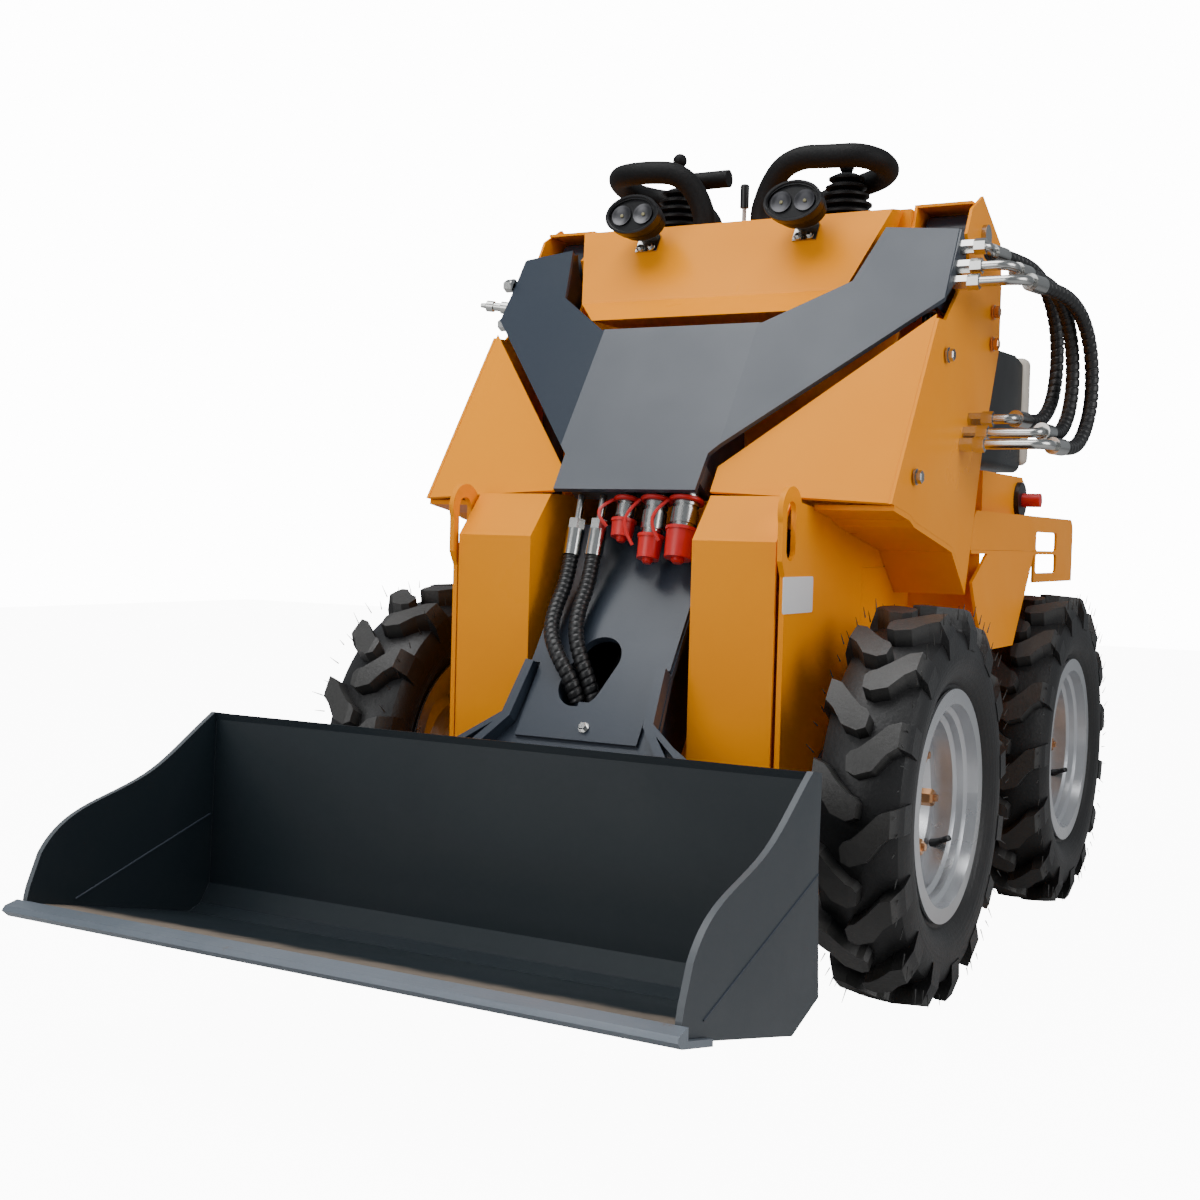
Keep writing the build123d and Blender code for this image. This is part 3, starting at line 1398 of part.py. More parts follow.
arm_ends, tower_ends = [], []
for (name, route), arm_port, tower_port in zip(SIDE_HOSES, ARM_PORTS, TOWER_PORTS):
    points = [placed(p) for p in route]
    behind, up = on_arm(*arm_port)
    arm_ends.append(hose_end(Vector(WING_OUT + ADAPTER, FRONT_AXLE_Y + behind, up), points[0], points[1]))
    tower_ends.append(
        hose_end(
            Vector(TOWER_OUTER + ADAPTER, FRONT_AXLE_Y + tower_port[0], tower_port[1]), points[-1], points[-2]
        )
    )
    hose_part = bent_tube(points, HOSE_R)
    with BuildPart() as side_hose:
        add(hose_part)
    finish(side_hose, name)
with BuildPart() as arm_hose_ends:
    add(arm_ends)
finish(arm_hose_ends, "arm_hose_ends")
with BuildPart() as tower_hose_ends:
    add(tower_ends)
finish(tower_hose_ends, "tower_hose_ends")
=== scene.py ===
from math import cos, pi, radians, sin

import bmesh
import bpy
from mathutils import Matrix, Vector


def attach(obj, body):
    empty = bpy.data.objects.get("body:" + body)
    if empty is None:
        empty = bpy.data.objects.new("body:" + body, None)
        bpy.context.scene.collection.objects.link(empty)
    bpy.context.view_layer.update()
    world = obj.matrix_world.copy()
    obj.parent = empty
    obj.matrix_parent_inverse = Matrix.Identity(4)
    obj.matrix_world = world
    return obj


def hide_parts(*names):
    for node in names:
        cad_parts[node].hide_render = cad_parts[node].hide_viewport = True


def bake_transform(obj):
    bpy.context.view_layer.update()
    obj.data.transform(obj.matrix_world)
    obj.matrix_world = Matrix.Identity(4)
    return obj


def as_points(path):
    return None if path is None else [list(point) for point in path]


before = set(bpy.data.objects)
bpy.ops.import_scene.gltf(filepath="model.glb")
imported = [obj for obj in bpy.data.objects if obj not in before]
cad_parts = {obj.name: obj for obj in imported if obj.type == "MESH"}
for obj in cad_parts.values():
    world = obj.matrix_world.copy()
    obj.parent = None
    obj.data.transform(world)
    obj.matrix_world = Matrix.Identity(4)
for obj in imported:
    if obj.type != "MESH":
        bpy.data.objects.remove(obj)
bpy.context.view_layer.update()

# %% [markdown]
# This lesson dresses a compact wheeled skid steer loader. The metal shapes come from the packed
# model, so most of the work is finishes: powder coat, rubber, plated steel, moulded plastic. What
# is too small for the solids, such as bolts, hose wraps, lamp bowls and rubber whiskers, is made here.
# Everything is in metres. X points to the machine's left, Y to its rear and Z up. The arm slopes
# up to the rear, so places on it are given along that slope and out of its face.

# %% Places shared by the cells
FRONT_AXLE_Y = -0.210
WHEELBASE = 0.795
TRACK = 0.846
AXLE_Z = 0.295
WHEELS = [  # name, side, Y of the axle
    ("front_left", 1, FRONT_AXLE_Y),
    ("front_right", -1, FRONT_AXLE_Y),
    ("rear_left", 1, FRONT_AXLE_Y + WHEELBASE),
    ("rear_right", -1, FRONT_AXLE_Y + WHEELBASE),
]
SLOPE = radians(56)  # of the arm's front face, from the ground
WAIST = (-0.122, 0.808)  # distance behind the front axle and height of the arm's waist
ARM_NORMAL = Vector((0, -sin(SLOPE), cos(SLOPE)))


def on_arm(x, s, n):
    """Point given along the arm's slope: X, s up the slope from its waist, n out of its front."""
    return Vector(
        (x, FRONT_AXLE_Y + WAIST[0] + s * cos(SLOPE) - n * sin(SLOPE), WAIST[1] + s * sin(SLOPE) + n * cos(SLOPE))
    )


def behind_axle(x, y, z):
    """Point given in millimetres with Y counted from the front axle."""
    return Vector((x / 1000, FRONT_AXLE_Y + y / 1000, z / 1000))


def add_object(name, data):
    """Object in the scene that shows the data, with its place left at the origin."""
    made = bpy.data.objects.new(name, data)
    bpy.context.collection.objects.link(made)
    return made


# %% [markdown]
# A studio is three things: a floor, soft light and a camera. The machine is lit like on an
# overcast day, with a dim sky dome and three very large lamps, so that the folds of the sheet
# metal read by their different brightness and no shadow is hard. Only the camera sees a white
# backdrop. If the paint reflected it, its colour would be washed out.

# %% Floor
FLOOR_REACH = 9
floor_mesh = bpy.data.meshes.new("studio_floor")
corners = [(FLOOR_REACH * x, FLOOR_REACH * y, 0) for x, y in ((-1, -1), (1, -1), (1, 1), (-1, 1))]
floor_mesh.from_pydata(corners, [], [(0, 1, 2, 3)])
floor = add_object("studio_floor", floor_mesh)
print("floor", 2 * FLOOR_REACH, "m square")

# %% Light
SKY = ((0.90, 0.95, 1.0, 1), 0.33)  # colour and strength of what lights the machine
BACKDROP = ((1, 1, 1, 1), 14.0)  # colour and strength of what the camera sees
SOFTBOXES = {  # place, the point it lights, width, watts
    "overhead_softbox": ((-0.6, -1.2, 4.2), (0, -0.1, 0.6), 3.0, 140),
    "side_softbox": ((3.8, -0.6, 2.2), (0, 0, 0.7), 2.4, 75),
    "front_softbox": ((-1.4, -4.4, 1.6), (0, -0.2, 0.6), 2.6, 60),
}


def brighter_for_camera(tree, plain, bright, end):
    """Show one shader to the camera's own rays and another to light that bounces."""
    seen = tree.nodes.new("ShaderNodeLightPath")
    choose = tree.nodes.new("ShaderNodeMixShader")
    tree.links.new(seen.outputs["Is Camera Ray"], choose.inputs["Fac"])
    tree.links.new(plain, choose.inputs[1])
    tree.links.new(bright, choose.inputs[2])
    tree.links.new(choose.outputs[0], end)


world = bpy.data.worlds.new("sky_dome")
bpy.context.scene.world = world
world.use_nodes = True
sky = world.node_tree
dome, backdrop = sky.nodes["Background"], sky.nodes.new("ShaderNodeBackground")
for node, (colour, strength) in ((dome, SKY), (backdrop, BACKDROP)):
    node.inputs["Color"].default_value = colour
    node.inputs["Strength"].default_value = strength
brighter_for_camera(sky, dome.outputs[0], backdrop.outputs[0], sky.nodes["World Output"].inputs["Surface"])

for name, (place, aim, width, watts) in SOFTBOXES.items():
    data = bpy.data.lights.new(name, "AREA")
    data.size = width
    data.energy = watts
    lamp = add_object(name, data)
    lamp.location = place
    lamp.rotation_euler = (Vector(aim) - Vector(place)).to_track_quat("-Z", "Y").to_euler()
    print(name, watts, "W")

# %% Camera
CAMERA_AT = Vector((1.1257, -2.4821, 0.6779))
CAMERA_YAW, CAMERA_PITCH, CAMERA_ROLL = 0.50197, 0.04003, 0.0257
LENS, SENSOR_WIDTH = 47.12, 36.0
back = Vector(
    (sin(CAMERA_YAW) * cos(CAMERA_PITCH), -cos(CAMERA_YAW) * cos(CAMERA_PITCH), sin(CAMERA_PITCH))
)
level = (-back).cross(Vector((0, 0, 1))).normalized()
upright = level.cross(-back)
right = level * cos(CAMERA_ROLL) + upright * sin(CAMERA_ROLL)
up = upright * cos(CAMERA_ROLL) - level * sin(CAMERA_ROLL)
camera_data = bpy.data.cameras.new("camera")
camera_data.lens = LENS
camera_data.sensor_width = SENSOR_WIDTH
camera = add_object("camera", camera_data)
camera.matrix_world = Matrix.Translation(CAMERA_AT) @ Matrix((right, up, back)).transposed().to_4x4()
bpy.context.scene.camera = camera
print("camera", [round(v, 3) for v in CAMERA_AT])

# %% [markdown]
# Five hydraulic hoses lie outside the machine. Each is a rubber hose in a spiral wrap, a flat
# plastic tape wound round it so that it can be slid through holes without being scuffed. A hose
# hangs in one smooth line, so its centre is a NURBS spline through a few control points, and the
# wrapped surface is a tube along that spline whose radius drops at every seam of the tape.

# %% Routes of the hoses
HOSE_DIAMETER = 0.024
PORT = (-0.058, -0.032)  # along the arm's slope and out of its face, where the couplers start
COUPLER_DROP = radians(73)  # how steeply they hang
LEAN = Vector((0, -cos(COUPLER_DROP), -sin(COUPLER_DROP)))
FITTING = (0.098, 0.142)  # where a front hose leaves its fitting, and a point straight ahead of it


def from_port(x, distance):
    """Point at a distance along a coupler's axis, from the manifold's port."""
    return on_arm(x, *PORT) + LEAN * distance


def front_route(x, bends):
    """Route that starts straight down from a fitting; its bends are in millimetres on the arm."""
    return [from_port(x, distance) for distance in FITTING] + [on_arm(*(v / 1000 for v in bend)) for bend in bends]


def side_route(*bends):
    return [behind_axle(*bend) for bend in bends]


ROUTES = {
    "front_hose_right": front_route(
        -0.088, [(-94, -240, -76), (-86, -285, -74), (-60, -323, -78), (-37, -351, -99), (-30, -372, -122)]
    ),
    "front_hose_left": front_route(
        -0.049, [(-53, -240, -77), (-46, -282, -80), (-31, -315, -93), (-17, -341, -113), (-9, -364, -133)]
    ),
    "side_hose_upper": side_route(
        (450, 292, 1150), (463, 352, 1150), (474, 408, 1143), (482, 455, 1121), (489, 490, 1082), (493, 506, 1029),
        (494, 500, 975), (494, 474, 928), (491, 434, 899), (487, 391, 888), (481, 345, 888),
    ),
    "side_hose_middle": side_route(
        (497, 262, 1113), (507, 326, 1113), (516, 384, 1102), (522, 431, 1074), (527, 461, 1027), (530, 467, 969),
        (531, 447, 916), (530, 409, 880), (529, 364, 865), (528, 317, 865),
    ),
    "side_hose_lower": side_route(
        (520, 260, 1094), (532, 321, 1094), (543, 377, 1086), (551, 425, 1065), (557, 459, 1028), (560, 475, 976),
        (561, 467, 922), (559, 441, 880), (556, 406, 853), (552, 363, 842), (548, 320, 842),
    ),
}
print("control points", {name: len(route) for name, route in ROUTES.items()})


# %% Lines and rings
def plain_mesh(source):
    """Mesh of what an object shows once its modifiers have run; the object is then removed."""
    bpy.context.view_layer.update()
    mesh = bpy.data.meshes.new_from_object(source.evaluated_get(bpy.context.evaluated_depsgraph_get()))
    bpy.data.objects.remove(source)
    return mesh


def spline_points(name, route):
    """Points read from the NURBS spline that has the route as its control points."""
    curve = bpy.data.curves.new(name + "_line", "CURVE")
    curve.dimensions = "3D"
    curve.resolution_u = 24
    spline = curve.splines.new("NURBS")
    spline.points.add(len(route) - 1)
    for point, place in zip(spline.points, route):
        point.co = (*place, 1)
    spline.order_u = 3
    spline.use_endpoint_u = True
    mesh = plain_mesh(add_object(name + "_line", curve))
    points = [v.co.copy() for v in mesh.vertices]
    bpy.data.curves.remove(curve)
    bpy.data.meshes.remove(mesh)
    return points


def even_steps(points, step):
    """The same line with its points a set distance apart, and each point's distance from the start."""
    walked = [0.0]
    for a, b in zip(points, points[1:]):
        walked.append(walked[-1] + (b - a).length)
    count = max(2, round(walked[-1] / step))
    line, j = [], 0
    for i in range(count + 1):
        want = walked[-1] * i / count
        while j < len(walked) - 2 and walked[j + 1] < want:
            j += 1
        share = (want - walked[j]) / (walked[j + 1] - walked[j])
        line.append((points[j].lerp(points[j + 1], share), want))
    return line


def square_to(points, ring=False):
    """Each point of a line with two directions square to it, which don't twist about the line."""
    across, last = None, len(points) - 1
    for i, place in enumerate(points):
        after = points[(i + 1) % len(points)] if ring or i < last else place
        before = points[i - 1] if ring or i else place
        heading = (after - before).normalized()
        across = across or heading.orthogonal()
        across = (across - heading * across.dot(heading)).normalized()
        yield place, across, heading.cross(across)


def skin(bm, rings, ring=False):
    """Faces between rings of corners; the ends are capped unless the last ring meets the first."""
    count = len(rings[0])
    for a, b in list(zip(rings, rings[1:])) + ([(rings[-1], rings[0])] if ring else []):
        for k in range(count):
            bm.faces.new((a[k], a[(k + 1) % count], b[(k + 1) % count], b[k]))
    if not ring:
        bm.faces.new(list(reversed(rings[0])))
        bm.faces.new(rings[-1])


# %% Wrapped tube along a line
TAPE_DROP = 0.0019  # depth of the groove between two turns of tape
TAPE_FLAT = 0.66  # share of a turn where the tape is flat
GROOVE_CURVE = 0.7  # below 1 the groove is steep at its sides
TUBE_SEGMENTS, TUBE_STEP = 28, 0.0014
PATH_EVERY = 8  # steps between two points of the path that the tube also returns


def wrapped_tube(name, points, radius, pitch_start, pitch_end):
    """Tube whose surface drops at the seam of a tape wound round it; the pitch changes along it."""
    line = even_steps(points, TUBE_STEP)
    bm = bmesh.new()
    turn = 0.0
    rings = []
    for (_, walked), (place, across, side) in zip(line, square_to([place for place, _ in line])):
        share = walked / line[-1][1]
        turn += (line[1][1] if walked else 0.0) / (pitch_start + (pitch_end - pitch_start) * share)
        ring = []
        for k in range(TUBE_SEGMENTS):
            angle = 2 * pi * k / TUBE_SEGMENTS
            seam = abs((turn - k / TUBE_SEGMENTS) % 1.0 - 0.5) * 2
            r = radius - TAPE_DROP * max(0.0, (seam - TAPE_FLAT) / (1 - TAPE_FLAT)) ** GROOVE_CURVE
            ring.append(bm.verts.new(place + across * (r * cos(angle)) + side * (r * sin(angle))))
        rings.append(ring)
    skin(bm, rings)
    mesh = bpy.data.meshes.new(name)
    bm.to_mesh(mesh)
    bm.free()
    for face in mesh.polygons:
        face.use_smooth = len(face.vertices) == 4
    path = [place for place, _ in line[::PATH_EVERY]] + [line[-1][0]]
    return add_object(name, mesh), path, line[-1][1]


PITCHES = {"front": (0.0078, 0.0125), "side": (0.0146, 0.0146)}  # of the tape, at each end
BLEND_SHARE = 5  # a fifth of a side hose's path at each end, whose points are picked out but not used
hoses = []
for name, route in ROUTES.items():
    centre = spline_points(name, route)
    hose, path, length = wrapped_tube("wrapped_" + name, centre, HOSE_DIAMETER / 2, *PITCHES[name.split("_")[0]])
    hoses.append(hose)
    if name.startswith("side"):
        first, last = len(path) // BLEND_SHARE, -len(path) // BLEND_SHARE
        tuple(path[first])
        tuple(path[last])
        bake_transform(hose)
    else:
        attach(hose, "boom")
    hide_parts(name)
    tuple(path[0])
    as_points(path)
    print(hose.name, "length", round(length, 3), "faces", len(hose.data.polygons))

# %% [markdown]
# Two effects show on nearly every finish, so each is a node group that the materials share.
# "uneven_film" gives the slow, cloudy difference in tone that any coating has, with a height for
# its texture. "settled_dust" lays a dry, pale film that is thicker near the ground.

# %% Node helpers
MIX_FACTOR, MIX_A, MIX_B, MIX_RESULT = 0, 6, 7, 2  # sockets of a Mix node that mixes colours


def link(tree, start, end):
    tree.links.new(start, end)


def feed(tree, value, socket):
    """Give an input what it needs: another node's socket or a plain value."""
    if isinstance(value, bpy.types.NodeSocket):
        link(tree, value, socket)
    elif isinstance(value, tuple) and len(value) < len(socket.default_value):
        socket.default_value = (*value, 1)
    else:
        socket.default_value = value


def add_node(tree, kind, group=None, **inputs):
    """New node with the inputs that are named here; an underscore stands for a space."""
    made = tree.nodes.new(kind)
    if group:
        made.node_tree = group
    for name, value in inputs.items():
        feed(tree, value, made.inputs[name.replace("_", " ")])
    return made


def new_group(name, inputs, outputs):
    """Empty shader group with named float or colour sockets."""
    tree = bpy.data.node_groups.new(name, "ShaderNodeTree")
    for socket, value in inputs:
        kind = "NodeSocketColor" if isinstance(value, tuple) else "NodeSocketFloat"
        tree.interface.new_socket(socket, in_out="INPUT", socket_type=kind).default_value = value
    for socket, kind in outputs:
        tree.interface.new_socket(socket, in_out="OUTPUT", socket_type=kind)
    return tree, tree.nodes.new("NodeGroupInput"), tree.nodes.new("NodeGroupOutput")


def mix_colour(tree, factor, a, b):
    """Mix node for colours; factor, a and b are sockets or values."""
    made = tree.nodes.new("ShaderNodeMix")
    made.data_type = "RGBA"
    for index, value in ((MIX_FACTOR, factor), (MIX_A, a), (MIX_B, b)):
        feed(tree, value, made.inputs[index])
    return made.outputs[MIX_RESULT]


def maths(tree, operation, a, b=0.0, clamp=False):
    """Math node; a and b are sockets or numbers."""
    made = tree.nodes.new("ShaderNodeMath")
    made.operation = operation
    made.use_clamp = clamp
    for i, value in enumerate((a, b)):
        feed(tree, value, made.inputs[i])
    return made.outputs[0]


def plus(tree, a, b, clamp=False):
    return maths(tree, "ADD", a, b, clamp)


def times(tree, a, b, clamp=False):
    return maths(tree, "MULTIPLY", a, b, clamp)


def noise(tree, vector, scale, detail=4.0, rough=0.55):
    made = add_node(tree, "ShaderNodeTexNoise", Vector=vector, Scale=scale, Detail=detail, Roughness=rough)
    return made.outputs["Fac"]


def ramp(tree, value, low, high):
    """Map a value from low..high to 0..1, clamped and smooth."""
    made = add_node(tree, "ShaderNodeMapRange", Value=value, From_Min=low, From_Max=high)
    made.interpolation_type = "SMOOTHSTEP"
    return made.outputs["Result"]


def object_place(tree):
    """Object coordinates, whole and split into X, Y and Z."""
    place = tree.nodes.new("ShaderNodeTexCoord").outputs["Object"]
    return place, add_node(tree, "ShaderNodeSeparateXYZ", Vector=place).outputs


def streaks(tree, place, stretch, scale):
    """Noise drawn out into lines, along the axis that is stretched least."""
    stretched = add_node(tree, "ShaderNodeMapping", Vector=place, Scale=stretch)
    return noise(tree, stretched.outputs["Vector"], scale, 6.0, 0.7)


# %% Shared effects
film, film_in, film_out = new_group(
    "uneven_film",
    [("Light", (1.0, 1.0, 1.0, 1.0)), ("Dark", (0.8, 0.8, 0.8, 1.0)), ("Grain", 0.5)],
    [("Color", "NodeSocketColor"), ("Tone", "NodeSocketFloat"), ("Height", "NodeSocketFloat")],
)
film_place, _ = object_place(film)
clouds = noise(film, film_place, 3.2, 5.0)
texture = noise(film, film_place, 190.0, 3.0)
tone = ramp(film, clouds, 0.35, 0.68)
link(film, mix_colour(film, tone, film_in.outputs["Dark"], film_in.outputs["Light"]), film_out.inputs["Color"])
link(film, tone, film_out.inputs["Tone"])
link(film, times(film, texture, film_in.outputs["Grain"]), film_out.inputs["Height"])

dust, dust_in, dust_out = new_group(
    "settled_dust",
    [("Color", (0.5, 0.5, 0.5, 1.0)), ("Dust", (0.33, 0.29, 0.24, 1.0)), ("Amount", 0.3), ("Reach", 0.7)],
    [("Color", "NodeSocketColor"), ("Mask", "NodeSocketFloat")],
)
dust_place, dust_split = object_place(dust)
lowness = maths(dust, "SUBTRACT", 1.0, maths(dust, "DIVIDE", dust_split["Z"], dust_in.outputs["Reach"]), True)
patches = ramp(dust, noise(dust, dust_place, 14.0, 8.0, 0.65), 0.42, 0.75)
dust_mask = times(dust, times(dust, patches, lowness), dust_in.outputs["Amount"], True)
link(dust, mix_colour(dust, dust_mask, dust_in.outputs["Color"], dust_in.outputs["Dust"]), dust_out.inputs["Color"])
link(dust, dust_mask, dust_out.inputs["Mask"])
print("shared groups:", film.name, dust.name)

# %% A finish from the shared effects
TONE_SHINES = 0.10  # the pale clouds of a film are this much smoother than the dark ones
DUST_DULLS = 0.35  # roughness that a full layer of dust adds
COAT_ROUGHNESS = 0.12
BUMP_STRENGTH = 0.6


def finish(
    name, light, dark, rough, metal=0.0, coat=0.0, grain=0.4, bump=0.0006, dusty=0.25, reach=0.7, shine=0.5, extra=None
):
    """Material with a cloudy coat, settled dust and a fine texture; extra adds what only it has."""
    material = bpy.data.materials.new(name)
    material.use_nodes = True
    tree = material.node_tree
    coating = add_node(tree, "ShaderNodeGroup", film, Light=light, Dark=dark, Grain=grain).outputs
    colour, height = coating["Color"], coating["Height"]
    if extra:
        colour, height = extra(tree, colour, height)
    dusted = add_node(tree, "ShaderNodeGroup", dust, Color=colour, Amount=dusty, Reach=reach).outputs
    smoother = times(tree, coating["Tone"], -TONE_SHINES)
    roughness = plus(tree, smoother, rough + TONE_SHINES / 2)
    relief = add_node(tree, "ShaderNodeBump", Strength=BUMP_STRENGTH, Distance=bump, Height=height)
    for socket, value in (
        ("Base Color", dusted["Color"]),
        ("Roughness", plus(tree, roughness, times(tree, dusted["Mask"], DUST_DULLS), True)),
        ("Metallic", metal),
        ("Specular IOR Level", shine),
        ("Coat Weight", coat),
        ("Coat Roughness", COAT_ROUGHNESS),
        ("Normal", relief.outputs["Normal"]),
    ):
        feed(tree, value, tree.nodes["Principled BSDF"].inputs[socket])
    return material


# %% [markdown]
# The body is folded sheet under an amber powder coat, the arm and bucket wear dark blue-grey
# ones. Powder coat has a faint orange peel, so the texture is fine and shallow, and the slate one
# has a thin clear coat with a second, sharper highlight. Soil wears the bucket bare behind its
# cutting edge. Light is painted on its side plates: their outer faces are paler than the shaded
# insides, and their cut rims carry a painted highlight.

# %% Powder coats
amber = finish(
    "amber_powder_coat", (1.0, 0.335, 0.0), (0.98, 0.315, 0.0), 0.32, bump=0.0002, dusty=0.0, shine=0.08
)
slate = finish(
    "slate_powder_coat", (0.027, 0.038, 0.056), (0.023, 0.033, 0.050), 0.36, coat=0.08, bump=0.0002, dusty=0.02
)
BARE_FROM, BARE_FULLY = 0.965, 1.020  # how far in front of the origin the floor starts to be bare, and is bare
RAGGED = 0.05  # how far the bare strip's limit wanders
BARE_DARK, BARE_LIGHT = (0.13, 0.100, 0.078), (0.34, 0.280, 0.225)
SIDE_INSIDE, SIDE_OUTSIDE = 0.4588, 0.4662  # X of the side plates' faces
# painted light: the outer faces of the side plates are paler than their shaded insides, and the cut rims carry a
# painted highlight
OUTER_FACE_PAINTED_LIGHT, RIM_PAINTED_HIGHLIGHT = (0.034, 0.042, 0.050), (0.085, 0.095, 0.105)


def bucket_wear_and_painted_light(tree, colour, height):
    """Bare, browned steel on the floor behind the cutting edge, scratched along the dig; painted light on the side
    plates.
    """
    place, split = object_place(tree)
    scratches = streaks(tree, place, (60.0, 3.0, 60.0), 4.0)
    ragged = plus(tree, split["Y"], times(tree, noise(tree, place, 26.0, 6.0), RAGGED))
    bare = ramp(tree, times(tree, ragged, -1.0), BARE_FROM, BARE_FULLY)
    normal = tree.nodes.new("ShaderNodeNewGeometry").outputs["Normal"]
    facing = add_node(tree, "ShaderNodeSeparateXYZ", Vector=normal).outputs
    sidewards = maths(tree, "ABSOLUTE", facing["X"])
    away = maths(tree, "ABSOLUTE", split["X"])
    # painted light on the outer faces of the side plates, and a painted highlight along their cut rims
    painted_light_outer = times(
        tree, maths(tree, "GREATER_THAN", away, SIDE_OUTSIDE), maths(tree, "GREATER_THAN", sidewards, 0.5)
    )
    painted_highlight_rim = times(tree, maths(tree, "GREATER_THAN", away, SIDE_INSIDE), maths(tree, "LESS_THAN", sidewards, 0.5))
    colour = mix_colour(tree, painted_light_outer, colour, OUTER_FACE_PAINTED_LIGHT)
    colour = mix_colour(tree, painted_highlight_rim, colour, RIM_PAINTED_HIGHLIGHT)
    bare = times(tree, bare, ramp(tree, facing["Z"], 0.6, 0.8))
    bare = times(tree, bare, maths(tree, "LESS_THAN", away, SIDE_INSIDE))
    steel = mix_colour(tree, scratches, BARE_DARK, BARE_LIGHT)
    return mix_colour(tree, bare, colour, steel), plus(tree, height, times(tree, scratches, 0.5))


bucket_paint = finish(
    "bucket_powder_coat", (0.010, 0.017, 0.022), (0.008, 0.014, 0.019), 0.42,
    coat=0.03, bump=0.0002, dusty=0.01, shine=0.35, extra=bucket_wear_and_painted_light,
)
print("coats:", amber.name, slate.name, bucket_paint.name)

# %% [markdown]
# Plated fittings are bright and smooth, the rims are sprayed with a silver paint full of flakes,
# and the edge bar is scraped bare and browned by weather in blotches. The edge bar's pale
# blue-grey is partly a slate tint and partly a painted reflection of the sky. Castings are dull
# and dark, and the nuts have a warm colour like brass.


# %% Metals
def scraped(tree, colour, height):
    """Scratches along X and brown blotches."""
    place, _ = object_place(tree)
    lines = streaks(tree, place, (2.0, 70.0, 70.0), 5.0)
    blotch = ramp(tree, noise(tree, place, 22.0, 8.0, 0.7), 0.62, 0.72)
    return mix_colour(tree, blotch, colour, (0.16, 0.12, 0.09)), plus(tree, height, lines)


plated = finish(
    "zinc_plating", (0.60, 0.60, 0.58), (0.42, 0.42, 0.41), 0.22, metal=1.0, grain=0.25, bump=0.0002, dusty=0.05
)
raw_steel = finish("dull_steel", (0.30, 0.30, 0.31), (0.18, 0.18, 0.19), 0.42, metal=0.9, dusty=0.15)
rim_silver = finish(
    "rim_silver", (0.74, 0.75, 0.77), (0.62, 0.63, 0.65), 0.26, metal=0.85, grain=0.5, bump=0.0003, dusty=0.08
)
# the pale blue-grey base colour is partly a slate tint and partly a painted reflection of the sky
edge_steel = finish(
    "scraped_steel", (0.19, 0.215, 0.25), (0.13, 0.155, 0.185), 0.33,
    metal=0.2, bump=0.0004, dusty=0.03, extra=scraped,
)
castings = finish("dark_casting", (0.05, 0.05, 0.05), (0.03, 0.03, 0.03), 0.6, metal=0.3, bump=0.001)
brass = finish(
    "brass_nut", (0.78, 0.42, 0.20), (0.60, 0.30, 0.14), 0.26, metal=1.0, grain=0.2, bump=0.0002, dusty=0.15
)
bowl_metal = finish(
    "bowl_metal", (0.10, 0.10, 0.105), (0.06, 0.06, 0.065), 0.38, metal=1.0, grain=0.1, bump=0.0001, dusty=0.0
)
print("metals:", [m.name for m in (plated, raw_steel, rim_silver, edge_steel, castings, brass, bowl_metal)])

# %% [markdown]
# Tyre rubber is nearly black where it is clean and greyer where the lugs have touched ground. The
# distance from the axle tells the two apart, so each axle gets its own copy of the material. Its
# side wall has fine rings.

# %% Rubber
SCUFFED = (0.268, 0.286)  # radius where scuffing starts and is full
SIDE_WALL = (0.225, 0.235)  # radius where the rings fade out
RING_PITCH, RING_DEPTH = 900.0, 0.12


def tyre_rubber(name, axle_y):
    def worn_lugs(tree, colour, height):
        place, split = object_place(tree)
        back = maths(tree, "SUBTRACT", split["Y"], axle_y)
        rise = maths(tree, "SUBTRACT", split["Z"], AXLE_Z)
        radius = maths(tree, "SQRT", plus(tree, times(tree, back, back), times(tree, rise, rise)))
        scuff = noise(tree, place, 30.0, 8.0, 0.7)
        tread = times(tree, ramp(tree, radius, *SCUFFED), plus(tree, times(tree, scuff, 0.5), 0.55), True)
        rings = maths(tree, "SINE", times(tree, radius, RING_PITCH))
        wall = maths(tree, "SUBTRACT", 1.0, ramp(tree, radius, *SIDE_WALL))
        rings = times(tree, times(tree, rings, wall), RING_DEPTH)
        return mix_colour(tree, tread, colour, (0.044, 0.043, 0.041)), plus(tree, plus(tree, height, scuff), rings)

    return finish(
        name, (0.009, 0.009, 0.0095), (0.005, 0.005, 0.0055), 0.46,
        grain=0.8, bump=0.0012, dusty=0.03, reach=0.6, extra=worn_lugs,
    )


tyre_front = tyre_rubber("tyre_rubber_front", FRONT_AXLE_Y)
tyre_rear = tyre_rubber("tyre_rubber_rear", FRONT_AXLE_Y + WHEELBASE)
foam = finish(
    "grip_foam", (0.004, 0.004, 0.0045), (0.0025, 0.0025, 0.003), 0.6, grain=1.0, bump=0.0010, dusty=0.0, shine=0.25
)
bellows_rubber = finish(
    "bellows_rubber", (0.005, 0.005, 0.0055), (0.003, 0.003, 0.0035), 0.42,
    grain=0.5, bump=0.0004, dusty=0.0, shine=0.3,
)
print("rubbers:", tyre_front.name, tyre_rear.name, foam.name, bellows_rubber.name)

# %% [markdown]
# Two small controls are one solid each but have two colours: the battery switch has a red key and
# the throttle lever a black grip. Their finish changes colour at a plane.

# %% Plastics and small controls
SWITCH_KEY_X = 0.3895  # the red key is outside this plane
LEVER_GRIP_Z = 1.2695  # the black grip is above this plane


def two_tone(axis, limit, beyond):
    """Colour that changes past a plane square to one axis."""
    def paint(tree, colour, height):
        past = maths(tree, "GREATER_THAN", object_place(tree)[1][axis], limit)
        return mix_colour(tree, past, colour, beyond), height

    return paint


